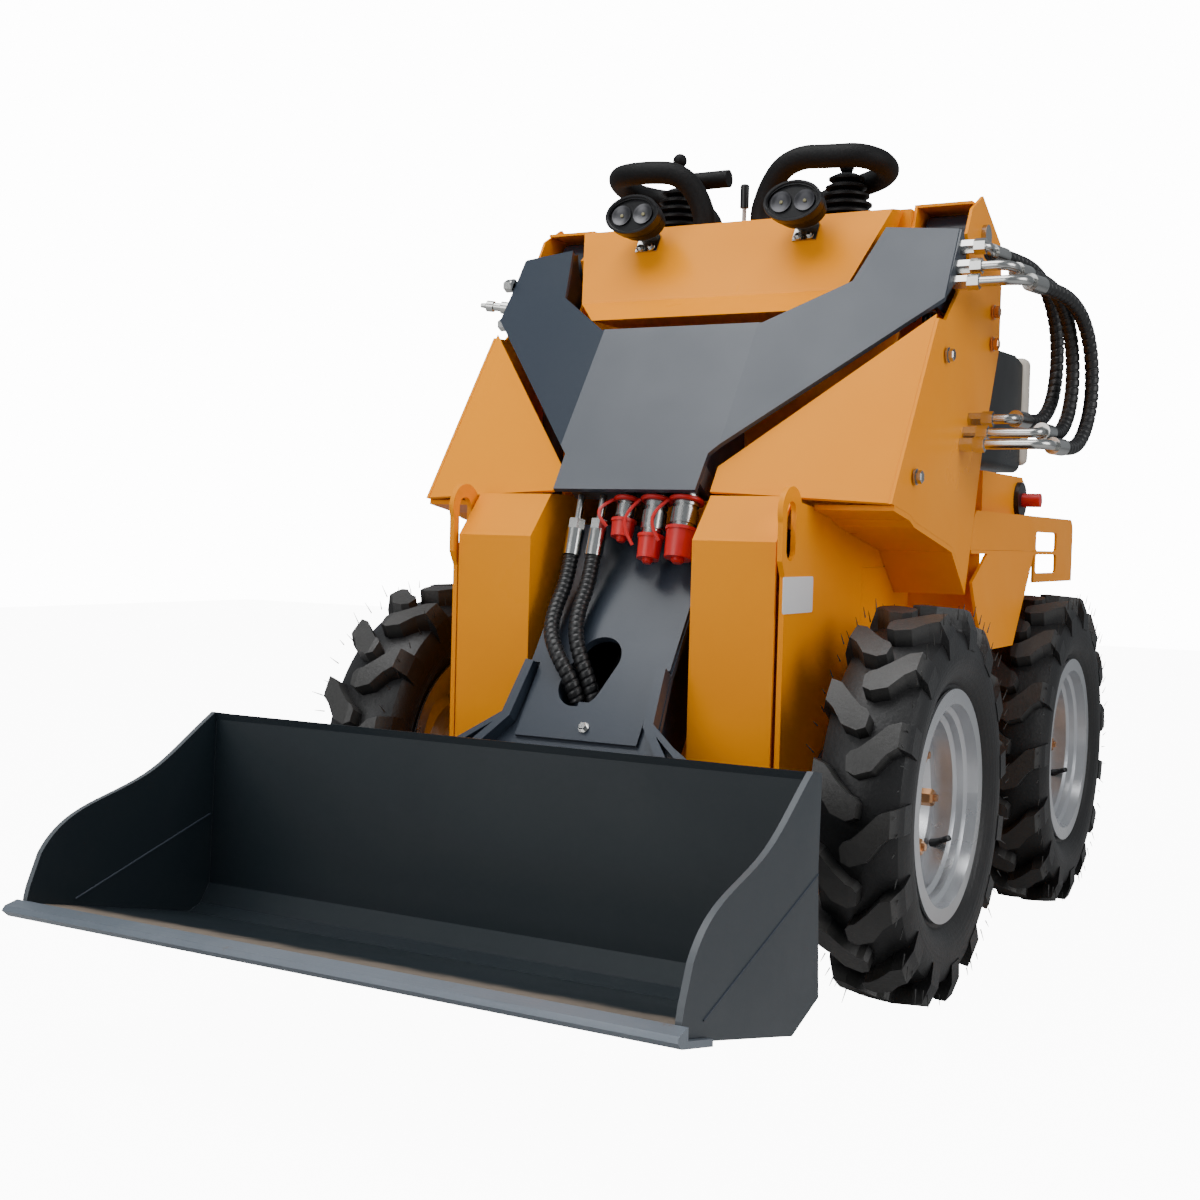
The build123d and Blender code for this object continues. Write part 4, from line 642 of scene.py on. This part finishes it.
hose_wrap = finish(
    "wrap_plastic", (0.013, 0.013, 0.014), (0.007, 0.007, 0.008), 0.40, grain=0.5, bump=0.0004, dusty=0.03
)
black_plastic = finish(
    "black_plastic", (0.007, 0.007, 0.008), (0.004, 0.004, 0.005), 0.34, grain=0.7, bump=0.0003, dusty=0.02, shine=0.35
)
shroud_plastic = finish(
    "shroud_plastic", (0.004, 0.004, 0.0045), (0.002, 0.002, 0.0025), 0.30,
    grain=0.4, bump=0.0002, dusty=0.0, shine=0.15,
)
beige_plastic = finish(
    "beige_plastic", (0.60, 0.55, 0.47), (0.52, 0.47, 0.40), 0.42, grain=0.6, bump=0.0004, dusty=0.05
)
red_plastic = finish(
    "red_plastic", (0.70, 0.022, 0.020), (0.52, 0.012, 0.012), 0.33, grain=0.3, bump=0.0003, dusty=0.05
)
switch_plastic = finish(
    "switch_plastic", (0.010, 0.010, 0.011), (0.006, 0.006, 0.007), 0.36,
    dusty=0.02, extra=two_tone("X", SWITCH_KEY_X, (0.62, 0.02, 0.02)),
)
lever_steel = finish(
    "lever_steel", (0.5, 0.5, 0.5), (0.4, 0.4, 0.4), 0.3,
    dusty=0.02, extra=two_tone("Z", LEVER_GRIP_Z, (0.008, 0.008, 0.009)),
)
label_film = finish("blank_label", (0.86, 0.86, 0.86), (0.80, 0.80, 0.81), 0.45, grain=0.2, bump=0.0002, dusty=0.1)
diode = finish("diode", (0.30, 0.27, 0.14), (0.22, 0.20, 0.10), 0.3, grain=0.1, dusty=0.0)
print("plastics:", [m.name for m in (hose_wrap, black_plastic, shroud_plastic, beige_plastic, red_plastic)])

# %% [markdown]
# The floor glows for the camera alone, so that it is as white as the backdrop and still takes the
# machine's shadow.

# %% Floor finish
FLOOR_GLOW = 11.0
floor_finish = finish("studio_floor_paint", (0.52, 0.52, 0.52), (0.50, 0.50, 0.50), 0.85, dusty=0.0)
floor_tree = floor_finish.node_tree
floor_paint = floor_tree.nodes["Principled BSDF"].outputs[0]
glow = add_node(floor_tree, "ShaderNodeEmission", Strength=FLOOR_GLOW)
lit = floor_tree.nodes.new("ShaderNodeAddShader")
link(floor_tree, floor_paint, lit.inputs[0])
link(floor_tree, glow.outputs[0], lit.inputs[1])
floor_end = floor_tree.nodes["Material Output"].inputs["Surface"]
brighter_for_camera(floor_tree, floor_paint, lit.outputs[0], floor_end)
floor.data.materials.append(floor_finish)
print("floor finish", floor_finish.name)

# %% [markdown]
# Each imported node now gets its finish. The lists name the nodes by what they are painted or
# plated with.

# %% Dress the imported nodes
DRESS = {
    amber: [
        "side_plates", "leg_covers", "slanted_covers", "arm_towers", "fenders", "hood_console", "rear_guards",
        "chassis_tub", "battery_box",
    ],
    slate: ["lift_arm", "arm_cover", "quick_hitch", "operator_platform", "wheel_motors"],
    bucket_paint: ["bucket"],
    edge_steel: ["cutting_edge"],
    rim_silver: ["wheel_" + name for name, _, _ in WHEELS],
    tyre_front: ["tyre_front_left", "tyre_front_right"],
    tyre_rear: ["tyre_rear_left", "tyre_rear_right"],
    plated: [
        "pivot_pins", "lamp_brackets", "lift_cylinder_rods", "tilt_cylinder_rod", "hydraulic_couplers",
        "arm_adapters", "tower_adapters", "arm_hose_ends", "tower_hose_ends", "front_hose_ends",
    ],
    raw_steel: ["arm_manifold", "lift_cylinder_barrels", "tilt_cylinder_barrel"],
    castings: ["engine_block"],
    foam: ["reference_bars", "drive_lever_grips"],
    bellows_rubber: ["lever_bellows"],
    black_plastic: ["work_lamps"],
    shroud_plastic: ["engine_shroud"],
    switch_plastic: ["battery_switch"],
    lever_steel: ["throttle_lever"],
    beige_plastic: ["engine_rear_cover"],
    red_plastic: ["coupler_caps"],
}
for material, names in DRESS.items():
    for name in names:
        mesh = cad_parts[name].data
        mesh.materials.clear()
        mesh.materials.append(material)
for hose in hoses:
    hose.data.materials.append(hose_wrap)
print("dressed", sum(len(names) for names in DRESS.values()), "nodes and", len(hoses), "hoses")

# %% [markdown]
# Every bolt, nut and screw on the machine is the same idea: a washer, a six-sided body with a
# chamfered top and sometimes the end of a stud. One Geometry Nodes tree makes them all. It reads
# a cloud of points with an "aim" at each, puts a fastener there, and its named inputs set the
# size. The helpers that open and end such a tree are shared with a second one further down.


# %% Trees that put pieces on spots
def spot_tree(name, sizes, output):
    """Tree that takes spots, named sizes and a finish, with what comes in and what goes out."""
    tree = bpy.data.node_groups.new(name, "GeometryNodeTree")
    face = tree.interface
    face.new_socket("Spots", in_out="INPUT", socket_type="NodeSocketGeometry")
    for size, value in sizes.items():
        face.new_socket(size, in_out="INPUT", socket_type="NodeSocketFloat").default_value = value
    face.new_socket("Finish", in_out="INPUT", socket_type="NodeSocketMaterial")
    face.new_socket(output, in_out="OUTPUT", socket_type="NodeSocketGeometry")
    return tree, tree.nodes.new("NodeGroupInput").outputs, tree.nodes.new("NodeGroupOutput").inputs


def put_on_spots(tree, start, end, piece, **placing):
    """Stand a piece on every spot along its aim, make the copies real and give them the finish."""
    aim = tree.nodes.new("GeometryNodeInputNamedAttribute")
    aim.data_type = "FLOAT_VECTOR"
    aim.inputs["Name"].default_value = "aim"
    stand = add_node(tree, "FunctionNodeAlignRotationToVector", Vector=aim.outputs["Attribute"])
    stand.axis = "Z"
    copies = add_node(
        tree, "GeometryNodeInstanceOnPoints",
        Points=start["Spots"], Instance=piece, Rotation=stand.outputs[0], **placing,
    )
    real = add_node(tree, "GeometryNodeRealizeInstances", Geometry=copies.outputs[0])
    paint = add_node(tree, "GeometryNodeSetMaterial", Geometry=real.outputs[0], Material=start["Finish"])
    link(tree, paint.outputs[0], end[0])


def spots_mesh(name, spots):
    """Loose points with their aim, for a tree to put pieces on."""
    mesh = bpy.data.meshes.new(name)
    mesh.from_pydata([tuple(place) for place, _ in spots], [], [])
    aim = mesh.attributes.new("aim", "FLOAT_VECTOR", "POINT")
    for i, (_, direction) in enumerate(spots):
        aim.data[i].vector = Vector(direction).normalized()
    return mesh


def ride(name, mesh, body):
    """Piece that shows a mesh and rides on a body."""
    piece = add_object(name, mesh)
    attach(piece, body)
    print(name, len(mesh.polygons), "faces on", body)
    return piece


def bake(name, spots, tree, sizes, material, body):
    """Run a tree on spots and keep the result as a plain mesh that rides on a body."""
    maker = add_object(name + "_maker", spots_mesh(name + "_spots", spots))
    modifier = maker.modifiers.new("maker", "NODES")
    modifier.node_group = tree
    for item in tree.interface.items_tree:
        if item.in_out == "INPUT" and item.name in sizes:
            modifier[item.identifier] = sizes[item.name]
        elif item.name == "Finish":
            modifier[item.identifier] = material
    mesh = plain_mesh(maker)
    mesh.name = name
    if "aim" in mesh.attributes:
        mesh.attributes.remove(mesh.attributes["aim"])
    return ride(name, mesh, body)


# %% Fastener tree
CHAMFER = 0.84  # share of a body's height and width that its chamfer leaves


def fastener_tree():
    tree, start, end = spot_tree("fasteners", {
        "Across Corners": 0.02, "Height": 0.012, "Washer": 0.014, "Washer Height": 0.003,
        "Stud": 0.004, "Stud Height": 0.016,
    }, "Fasteners")
    parts = tree.nodes.new("GeometryNodeJoinGeometry")

    def barrel(sides, radius, top, low, high):
        """Closed barrel or cone from one height to another."""
        cone = add_node(
            tree, "GeometryNodeMeshCone",
            Vertices=sides, Radius_Bottom=radius, Radius_Top=top, Depth=maths(tree, "SUBTRACT", high, low),
        )
        foot = add_node(tree, "ShaderNodeCombineXYZ", Z=low)
        moved = add_node(
            tree, "GeometryNodeTransform", Geometry=cone.outputs["Mesh"], Translation=foot.outputs[0]
        )
        link(tree, moved.outputs[0], parts.inputs[0])

    radius = times(tree, start["Across Corners"], 0.5)
    shoulder = plus(tree, start["Washer Height"], times(tree, start["Height"], CHAMFER))
    top = plus(tree, start["Washer Height"], start["Height"])
    barrel(20, start["Washer"], start["Washer"], 0.0, start["Washer Height"])
    barrel(6, radius, radius, start["Washer Height"], shoulder)
    barrel(6, radius, times(tree, radius, CHAMFER), shoulder, top)
    barrel(12, start["Stud"], times(tree, start["Stud"], 0.8), 0.0, start["Stud Height"])
    put_on_spots(tree, start, end, parts.outputs[0])
    return tree


FASTENERS = fastener_tree()
WASHER_HEIGHT = 0.0025
STUD_SHOWS = 0.0075  # height of a stud above its nut


def fasteners(name, body, spots, corners, height, washer, material=plated, stud=0.0):
    sizes = {
        "Across Corners": corners, "Height": height, "Washer": washer, "Washer Height": WASHER_HEIGHT,
        "Stud": stud or corners * 0.2, "Stud Height": height + STUD_SHOWS if stud else height * 0.5,
    }
    return bake(name, spots, FASTENERS, sizes, material, body)


# %% [markdown]
# Five brass-coloured nuts hold each rim, standing on studs that show their ends. With two bolts
# on each tower they are the only warm metal on the machine, so they get their own finish.

# %% Wheel nuts
NUTS = 5
FIRST_NUT = radians(-2)
NUT_CIRCLE = 0.073
NUT_FACE = 0.4045  # X of the wheel disc's outer face
for name, side, axle_y in WHEELS:
    spots = []
    for k in range(NUTS):
        angle = FIRST_NUT + 2 * pi * k / NUTS
        out = Vector((0, cos(angle), sin(angle)))
        spots.append((Vector((side * NUT_FACE, axle_y, AXLE_Z)) + out * NUT_CIRCLE, (side, 0, 0)))
    fasteners("wheel_nuts_" + name, "wheel_" + name + "_body", spots, 0.027, 0.024, 0.0165, brass, stud=0.007)

# %% [markdown]
# Each tower has two copper-coloured bolts high up and two plated ones lower down, at the same
# places on both sides. One screw holds the cover in the middle of the arm.

# %% Bolts on the towers and the arm
TOWER_FACE = 407.5  # X of the towers' outer faces, in millimetres
TOWER_BOLTS = {  # distance behind the front axle and height
    "copper": ([(401, 1077), (401, 1023)], brass),
    "silver": ([(141, 975), (-1, 779)], plated),
}
for label, (places, material) in TOWER_BOLTS.items():
    spots = [(behind_axle(side * TOWER_FACE, y, z), (side, 0, 0)) for y, z in places for side in (1, -1)]
    fasteners("tower_bolts_" + label, "chassis", spots, 0.020, 0.009, 0.0125, material)
fasteners("cover_bolt", "boom", [(on_arm(0.010, -0.4265, -0.100), ARM_NORMAL)], 0.013, 0.006, 0.0085)

# %% [markdown]
# Round pieces, such as a reflector, a valve stem or a plug, are turned: a closed outline of radius
# against distance is spun about an axis. Straps and rings follow a line instead, so a second
# helper lays a round bar through points. Both make plain closed meshes with outward faces.

# %% Turned pieces and round bars
SHARP = radians(35)  # edges that bend more than this aren't shaded smooth
TOUCHING = 1e-6  # distance below which corners are one


def keep(name, bm, material, body, smooth=True):
    """Turn a bmesh into a finished piece that rides on a body."""
    bmesh.ops.remove_doubles(bm, verts=bm.verts, dist=TOUCHING)
    bmesh.ops.recalc_face_normals(bm, faces=bm.faces)
    mesh = bpy.data.meshes.new(name)
    bm.to_mesh(mesh)
    bm.free()
    for face in mesh.polygons:
        face.use_smooth = smooth
    if smooth:
        mesh.set_sharp_from_angle(angle=SHARP)
    mesh.materials.append(material)
    return ride(name, mesh, body)


def turned(bm, outline, start, axis, segments=28, squash=1.0):
    """Spin a closed outline of (radius, distance) about an axis; squash gives an oval section."""
    axis = Vector(axis).normalized()
    first = Vector((1, 0, 0)) if abs(axis.x) < 0.9 else Vector((0, 1, 0))
    first = (first - axis * first.dot(axis)).normalized()
    second = axis.cross(first) * squash
    rings = []
    for k in range(segments):
        angle = 2 * pi * k / segments
        ray = first * cos(angle) + second * sin(angle)
        rings.append([bm.verts.new(Vector(start) + axis * along + ray * radius) for radius, along in outline])
    for a, b in zip(rings, rings[1:] + rings[:1]):
        for i in range(len(outline)):
            j = (i + 1) % len(outline)
            at_axis = [outline[n][0] < TOUCHING for n in (i, j)]
            if all(at_axis):
                continue
            corners = [a[i], a[j]] + ([] if at_axis[1] else [b[j]]) + ([] if at_axis[0] else [b[i]])
            bm.faces.new(corners)


def circle(centre, across, side, radius, count):
    """Points round a centre, from one direction towards the other."""
    angles = [2 * pi * k / count for k in range(count)]
    return [centre + across * radius * cos(angle) + side * radius * sin(angle) for angle in angles]


def round_bar(bm, points, radius, segments=12, ring=False):
    """Round bar through points, closed on itself for a ring."""
    rings = []
    for place, across, side in square_to(points, ring):
        rings.append([bm.verts.new(corner) for corner in circle(place, across, side, radius, segments)])
    skin(bm, rings, ring)


# %% [markdown]
# Each work lamp is a black oval housing with cooling fins behind. In its face sit two dark
# reflector bowls side by side, each round a small yellowish diode. The bowls are turned and the
# fins are oval plates that stand out of the taper of the housing. Two screws hold each bracket.

# %% Lamps
LAMP_X = 0.147
LAMP_FACE = (124, 1231)  # distance behind the front axle and height, in millimetres
LAMP_NORMAL = Vector((0, -0.98, 0.2)).normalized()
LAMP_OVAL = 0.70  # height of a lamp's face over its width
BOWL_SHIFT = 0.0205
BOWL = [
    (0.0, -0.0036), (0.005, -0.0035), (0.010, -0.0029), (0.014, -0.0019), (0.0165, -0.0006), (0.0178, -0.0004),
    (0.0182, -0.0010), (0.0182, -0.0039), (0.0, -0.0039),
]
CHIP = [(0, -0.0035), (0.0030, -0.0035), (0.0030, -0.0022), (0.0022, -0.0018), (0, -0.0018)]
RIM = [(0.0440, -0.0005), (0.0500, -0.0005), (0.0506, 0.0010), (0.0500, 0.0022), (0.0455, 0.0022), (0.0440, 0.0012)]
FINS, FIN_THICK, FIN_ROOT = 6, 0.0019, 0.022
FIN_FIRST, FIN_STEP = (0.0490, -0.0195), (-0.0012, -0.0048)  # radius and place of a fin, and their change
bowls, chips, fins = bmesh.new(), bmesh.new(), bmesh.new()
for side in (1, -1):
    face = behind_axle(side * LAMP_X * 1000, *LAMP_FACE)
    for shift in (-BOWL_SHIFT, BOWL_SHIFT):
        centre = face + Vector((shift, 0, 0))
        turned(bowls, BOWL, centre, LAMP_NORMAL)
        turned(chips, CHIP, centre, LAMP_NORMAL, 8)
    turned(fins, RIM, face, LAMP_NORMAL, 48, LAMP_OVAL)
    for k in range(FINS):
        wide, deep = [first + step * k for first, step in zip(FIN_FIRST, FIN_STEP)]
        fin = [(FIN_ROOT, deep), (wide, deep), (wide, deep - FIN_THICK), (FIN_ROOT, deep - FIN_THICK)]
        turned(fins, fin, face, LAMP_NORMAL, 48, LAMP_OVAL)
keep("lamp_bowls", bowls, bowl_metal, "chassis")
keep("lamp_diodes", chips, diode, "chassis", smooth=False)
keep("lamp_fins", fins, black_plastic, "chassis")

HOOD_NORMAL = Vector((0, -141, 86)).normalized()
BRACKET_FOOT = (182, 1182)
BRACKET_THICK = 0.003
spots = []
for side in (1, -1):
    for shift in (-10, 10):
        foot = behind_axle(side * LAMP_X * 1000 + shift, *BRACKET_FOOT)
        spots.append((foot + HOOD_NORMAL * BRACKET_THICK, HOOD_NORMAL))
fasteners("bracket_screws", "chassis", spots, 0.010, 0.004, 0.0075)

# %% [markdown]
# The three quick couplers have red dust caps, each on a strap that ends in a ring round the
# coupler's neck, so that the cap can't be lost. Ring and strap are one round bar of soft plastic.

# %% Straps and rings of the caps
FRONTWARDS = Vector((0, -sin(COUPLER_DROP), cos(COUPLER_DROP)))
SIDEWARDS = Vector((1, 0, 0))
COUPLERS = [  # X, neck radius, length down to the cap, cap radius, cap length
    (-0.006, 0.015, 0.040, 0.0185, 0.027),
    (0.045, 0.019, 0.064, 0.0195, 0.036),
    (0.095, 0.0205, 0.052, 0.024, 0.046),
]
STRAP_STEPS = 12
STRAP_START = 0.010  # distance of a strap's upper end from the port
STRAP_BULGE = 0.013  # how far its middle stands out
STRAP_SIDE = (radians(160), radians(30))  # angle to the side at its start, and its change
STRAP_FRONT = (radians(40), 0.4)  # the same for how far it comes forward
straps = bmesh.new()
for x, radius, bare, cap_radius, cap in COUPLERS:
    neck = circle(from_port(x, 0.007), SIDEWARDS, FRONTWARDS, radius + 0.003, 28)
    round_bar(straps, neck, 0.0038, 10, ring=True)
    line = []
    for k in range(STRAP_STEPS + 1):
        share = k / STRAP_STEPS
        reach = (radius + 0.004) * (1 - share) + (cap_radius + 0.001) * share + STRAP_BULGE * sin(pi * share)
        sideways = cos(STRAP_SIDE[0] + STRAP_SIDE[1] * share)
        forward = sin(STRAP_FRONT[0] + STRAP_FRONT[1] * share)
        spot = from_port(x, STRAP_START + share * (bare + cap * 0.55 - STRAP_START))
        line.append(spot + (SIDEWARDS * sideways + FRONTWARDS * forward) * reach)
    round_bar(straps, line, 0.0027, 8)
    knob = [(0, 0), (cap_radius * 0.42, 0), (cap_radius * 0.42, 0.004), (cap_radius * 0.3, 0.007), (0, 0.007)]
    turned(straps, knob, from_port(x, bare + cap), LEAN, 16)
    hollow, lip = radius * 0.9, cap_radius + 0.0016
    turned(straps, [(hollow, 0), (lip, 0), (lip, 0.005), (hollow, 0.005)], from_port(x, bare - 0.001), LEAN)
keep("cap_straps", straps, red_plastic, "boom")

# %% [markdown]
# A tyre comes out of its mould with rubber whiskers, where air left through small vents. They
# stand along both shoulders, thin and leaning every way. A tree sets a thin spike on each spot,
# and a fixed seed varies their lengths. None may reach the ground or past the tyre's side.

# %% Spike tree
RANDOM_LOW, RANDOM_HIGH, RANDOM_NUMBER = 2, 3, 1  # sockets of a Random Value node that gives numbers


def spike_tree():
    tree, start, end = spot_tree("spikes", {"Length": 0.014, "Thickness": 0.0008, "Variation": 0.5}, "Spikes")
    cone = add_node(
        tree, "GeometryNodeMeshCone",
        Vertices=6, Radius_Bottom=start["Thickness"], Radius_Top=times(tree, start["Thickness"], 0.35),
        Depth=start["Length"],
    )
    chance = add_node(tree, "FunctionNodeRandomValue", Seed=11)
    chance.data_type = "FLOAT"
    feed(tree, maths(tree, "SUBTRACT", 1.0, start["Variation"]), chance.inputs[RANDOM_LOW])
    feed(tree, 1.0, chance.inputs[RANDOM_HIGH])
    stretch = add_node(tree, "ShaderNodeCombineXYZ", X=1.0, Y=1.0, Z=chance.outputs[RANDOM_NUMBER])
    put_on_spots(tree, start, end, cone.outputs["Mesh"], Scale=stretch.outputs[0])
    return tree


SPIKES = spike_tree()

# %% Whiskers
WHISKERS = 120
WHISKER_LONGEST = 0.024
LOWEST_TIP = 0.004
SHOULDER = 0.0625  # X of the whiskers' roots from the tyre's middle
SHOULDER_RADIUS, RADIUS_SPREAD = 0.279, 0.008
SIDE_LEAN, LEAN_SPREAD = 0.13, 0.25
for name, side, axle_y in WHEELS:
    spots = []
    for k in range(WHISKERS):
        angle = 2 * pi * (k + 0.37 * sin(k * 2.3)) / WHISKERS
        outer = (-1) ** k
        out = Vector((0, cos(angle), sin(angle)))
        foot = Vector((side * (TRACK / 2 + outer * SHOULDER), axle_y, AXLE_Z))
        place = foot + out * (SHOULDER_RADIUS + RADIUS_SPREAD * sin(k * 5.1))
        lean = Vector((side * outer * SIDE_LEAN, LEAN_SPREAD * sin(k * 1.7), LEAN_SPREAD * cos(k * 3.1)))
        aim = out + lean
        if (place + aim.normalized() * WHISKER_LONGEST).z > LOWEST_TIP:
            spots.append((place, aim))
    rubber = tyre_front if name.startswith("front") else tyre_rear
    sizes = {"Length": WHISKER_LONGEST, "Thickness": 0.0011, "Variation": 0.5}
    bake("tyre_whiskers_" + name, spots, SPIKES, sizes, rubber, "wheel_" + name + "_body")

# %% [markdown]
# Air goes into a tyre through a rubber stem in the rim's well. It is thick at its root, leans
# outwards and ends in a cap.

# %% Valve stems
STEM_ANGLES = {"front_left": -37, "front_right": 140, "rear_left": -30, "rear_right": 60}
STEM_ROOT = 0.131  # distance of the root from the axle
STEM_INSET = 0.002  # how far the root is inside the tyre's middle
STEM = [
    (0, 0), (0.0075, 0), (0.0060, 0.010), (0.0048, 0.024), (0.0042, 0.024), (0.0042, 0.028), (0.0050, 0.028),
    (0.0046, 0.040), (0, 0.041),
]
for name, side, axle_y in WHEELS:
    angle = radians(STEM_ANGLES[name])
    out = Vector((0, cos(angle), sin(angle)))
    root = Vector((side * (TRACK / 2 - STEM_INSET), axle_y, AXLE_Z)) + out * STEM_ROOT
    stem = bmesh.new()
    turned(stem, STEM, root, Vector((side * 0.78, 0, 0)) - out * 0.62, 16)
    keep("valve_stem_" + name, stem, black_plastic, "wheel_" + name + "_body")

# %% [markdown]
# The bucket is welded from bent sheet: a short row of weld dots in each inner corner, and a seam
# across each side plate where a wear plate is let in. A weld bead is a low half-round bar.

# %% Welds of the bucket
SEAMS = (  # X, then the ends as distance behind the front axle and height, in millimetres
    (467, (-831, 189), (-515, 283)),
    (459, (-801, 184), (-549, 261)),
)
SEAM_STEPS = 24
DOTS, DOT_X, DOT_Y = 8, 458, -534.5
FIRST_DOT, DOT_STEP = 180, 29  # heights
dots, beads = [], bmesh.new()
for side in (1, -1):
    for k in range(DOTS):
        dots.append((behind_axle(side * DOT_X, DOT_Y, FIRST_DOT + DOT_STEP * k), (-side, -1, 0)))
    for x, (start_y, start_z), (end_y, end_z) in SEAMS:
        shares = [k / SEAM_STEPS for k in range(SEAM_STEPS + 1)]
        line = [
            behind_axle(side * x, start_y + (end_y - start_y) * share, start_z + (end_z - start_z) * share)
            for share in shares
        ]
        round_bar(beads, line, 0.0013, 8)
keep("bucket_seams", beads, slate, "bucket_group")
sizes = {"Length": 0.004, "Thickness": 0.0034, "Variation": 0.4}
bake("weld_dots", dots, SPIKES, sizes, plated, "bucket_group")

# %% [markdown]
# A thin plate on the left side carries the machine's data on the real one. Here it is blank, with
# rounded corners.

# %% Blank plate
PLATE_X = (283.1, 284.0)  # inner and outer face; the other sizes are places behind the axle, in millimetres
PLATE_Y, PLATE_Z = (-201, -85), (575, 628)
PLATE_ROUND, ROUND_STEPS = 4, 4
plate, outline = bmesh.new(), []
for y_end, z_end, turn in ((1, 1, 0), (0, 1, 90), (0, 0, 180), (1, 0, 270)):
    centre_y = PLATE_Y[y_end] + (PLATE_ROUND if y_end == 0 else -PLATE_ROUND)
    centre_z = PLATE_Z[z_end] + (PLATE_ROUND if z_end == 0 else -PLATE_ROUND)
    for step in range(ROUND_STEPS + 1):
        angle = radians(turn + 90 * step / ROUND_STEPS)
        outline.append((centre_y + PLATE_ROUND * cos(angle), centre_z + PLATE_ROUND * sin(angle)))
skin(plate, [[plate.verts.new(behind_axle(x, y, z)) for y, z in outline] for x in PLATE_X])
keep("blank_label", plate, label_film, "chassis", smooth=False)

# %% [markdown]
# Behind the black shroud the engine ends in a beige cover whose rounded edge shows past the shroud.
# On each side it is one box with its edges bevelled in several steps.

# %% Edge of the rear cover
COVER_EDGE = ((296, 334), (942, 985), (846, 1064))  # X, distance behind the front axle, height
COVER_ROUND = 0.014
for label, side in (("left", 1), ("right", -1)):
    edge = bmesh.new()
    bmesh.ops.create_cube(edge, size=1.0)
    for corner in edge.verts:
        x, y, z = [limits[int(value > 0)] for limits, value in zip(COVER_EDGE, corner.co)]
        corner.co = behind_axle(side * x, y, z)
    bmesh.ops.bevel(edge, geom=edge.edges[:], offset=COVER_ROUND, segments=4, profile=0.5, affect="EDGES")
    keep("rear_cover_edge_" + label, edge, beige_plastic, "chassis")

# %% [markdown]
# The arm's right wing has no hoses. Its middle port has a plug with a pointed end, and the two
# others are shut with nuts.

# %% Plugs on the right wing
PLUG_ROOT, PLUG_TIP = (-406, 152, 1087), (-462, 140, 1094)
WING_FACE = -406.5  # X
WING_NUTS = [(166, 1130), (150, 1058)]
PLUG = [
    (0, 0), (0.011, 0), (0.011, 0.016), (0.0075, 0.018), (0.0075, 0.030), (0.0100, 0.031), (0.0100, 0.044),
    (0.0050, 0.047), (0.0042, 0.056), (0, 0.057),
]
plug, root = bmesh.new(), behind_axle(*PLUG_ROOT)
turned(plug, PLUG, root, behind_axle(*PLUG_TIP) - root, 20)
keep("wing_plug", plug, plated, "boom")
spots = [(behind_axle(WING_FACE, y, z), (-1, 0, 0)) for y, z in WING_NUTS]
fasteners("wing_plug_nuts", "boom", spots, 0.024, 0.016, 0.0125)
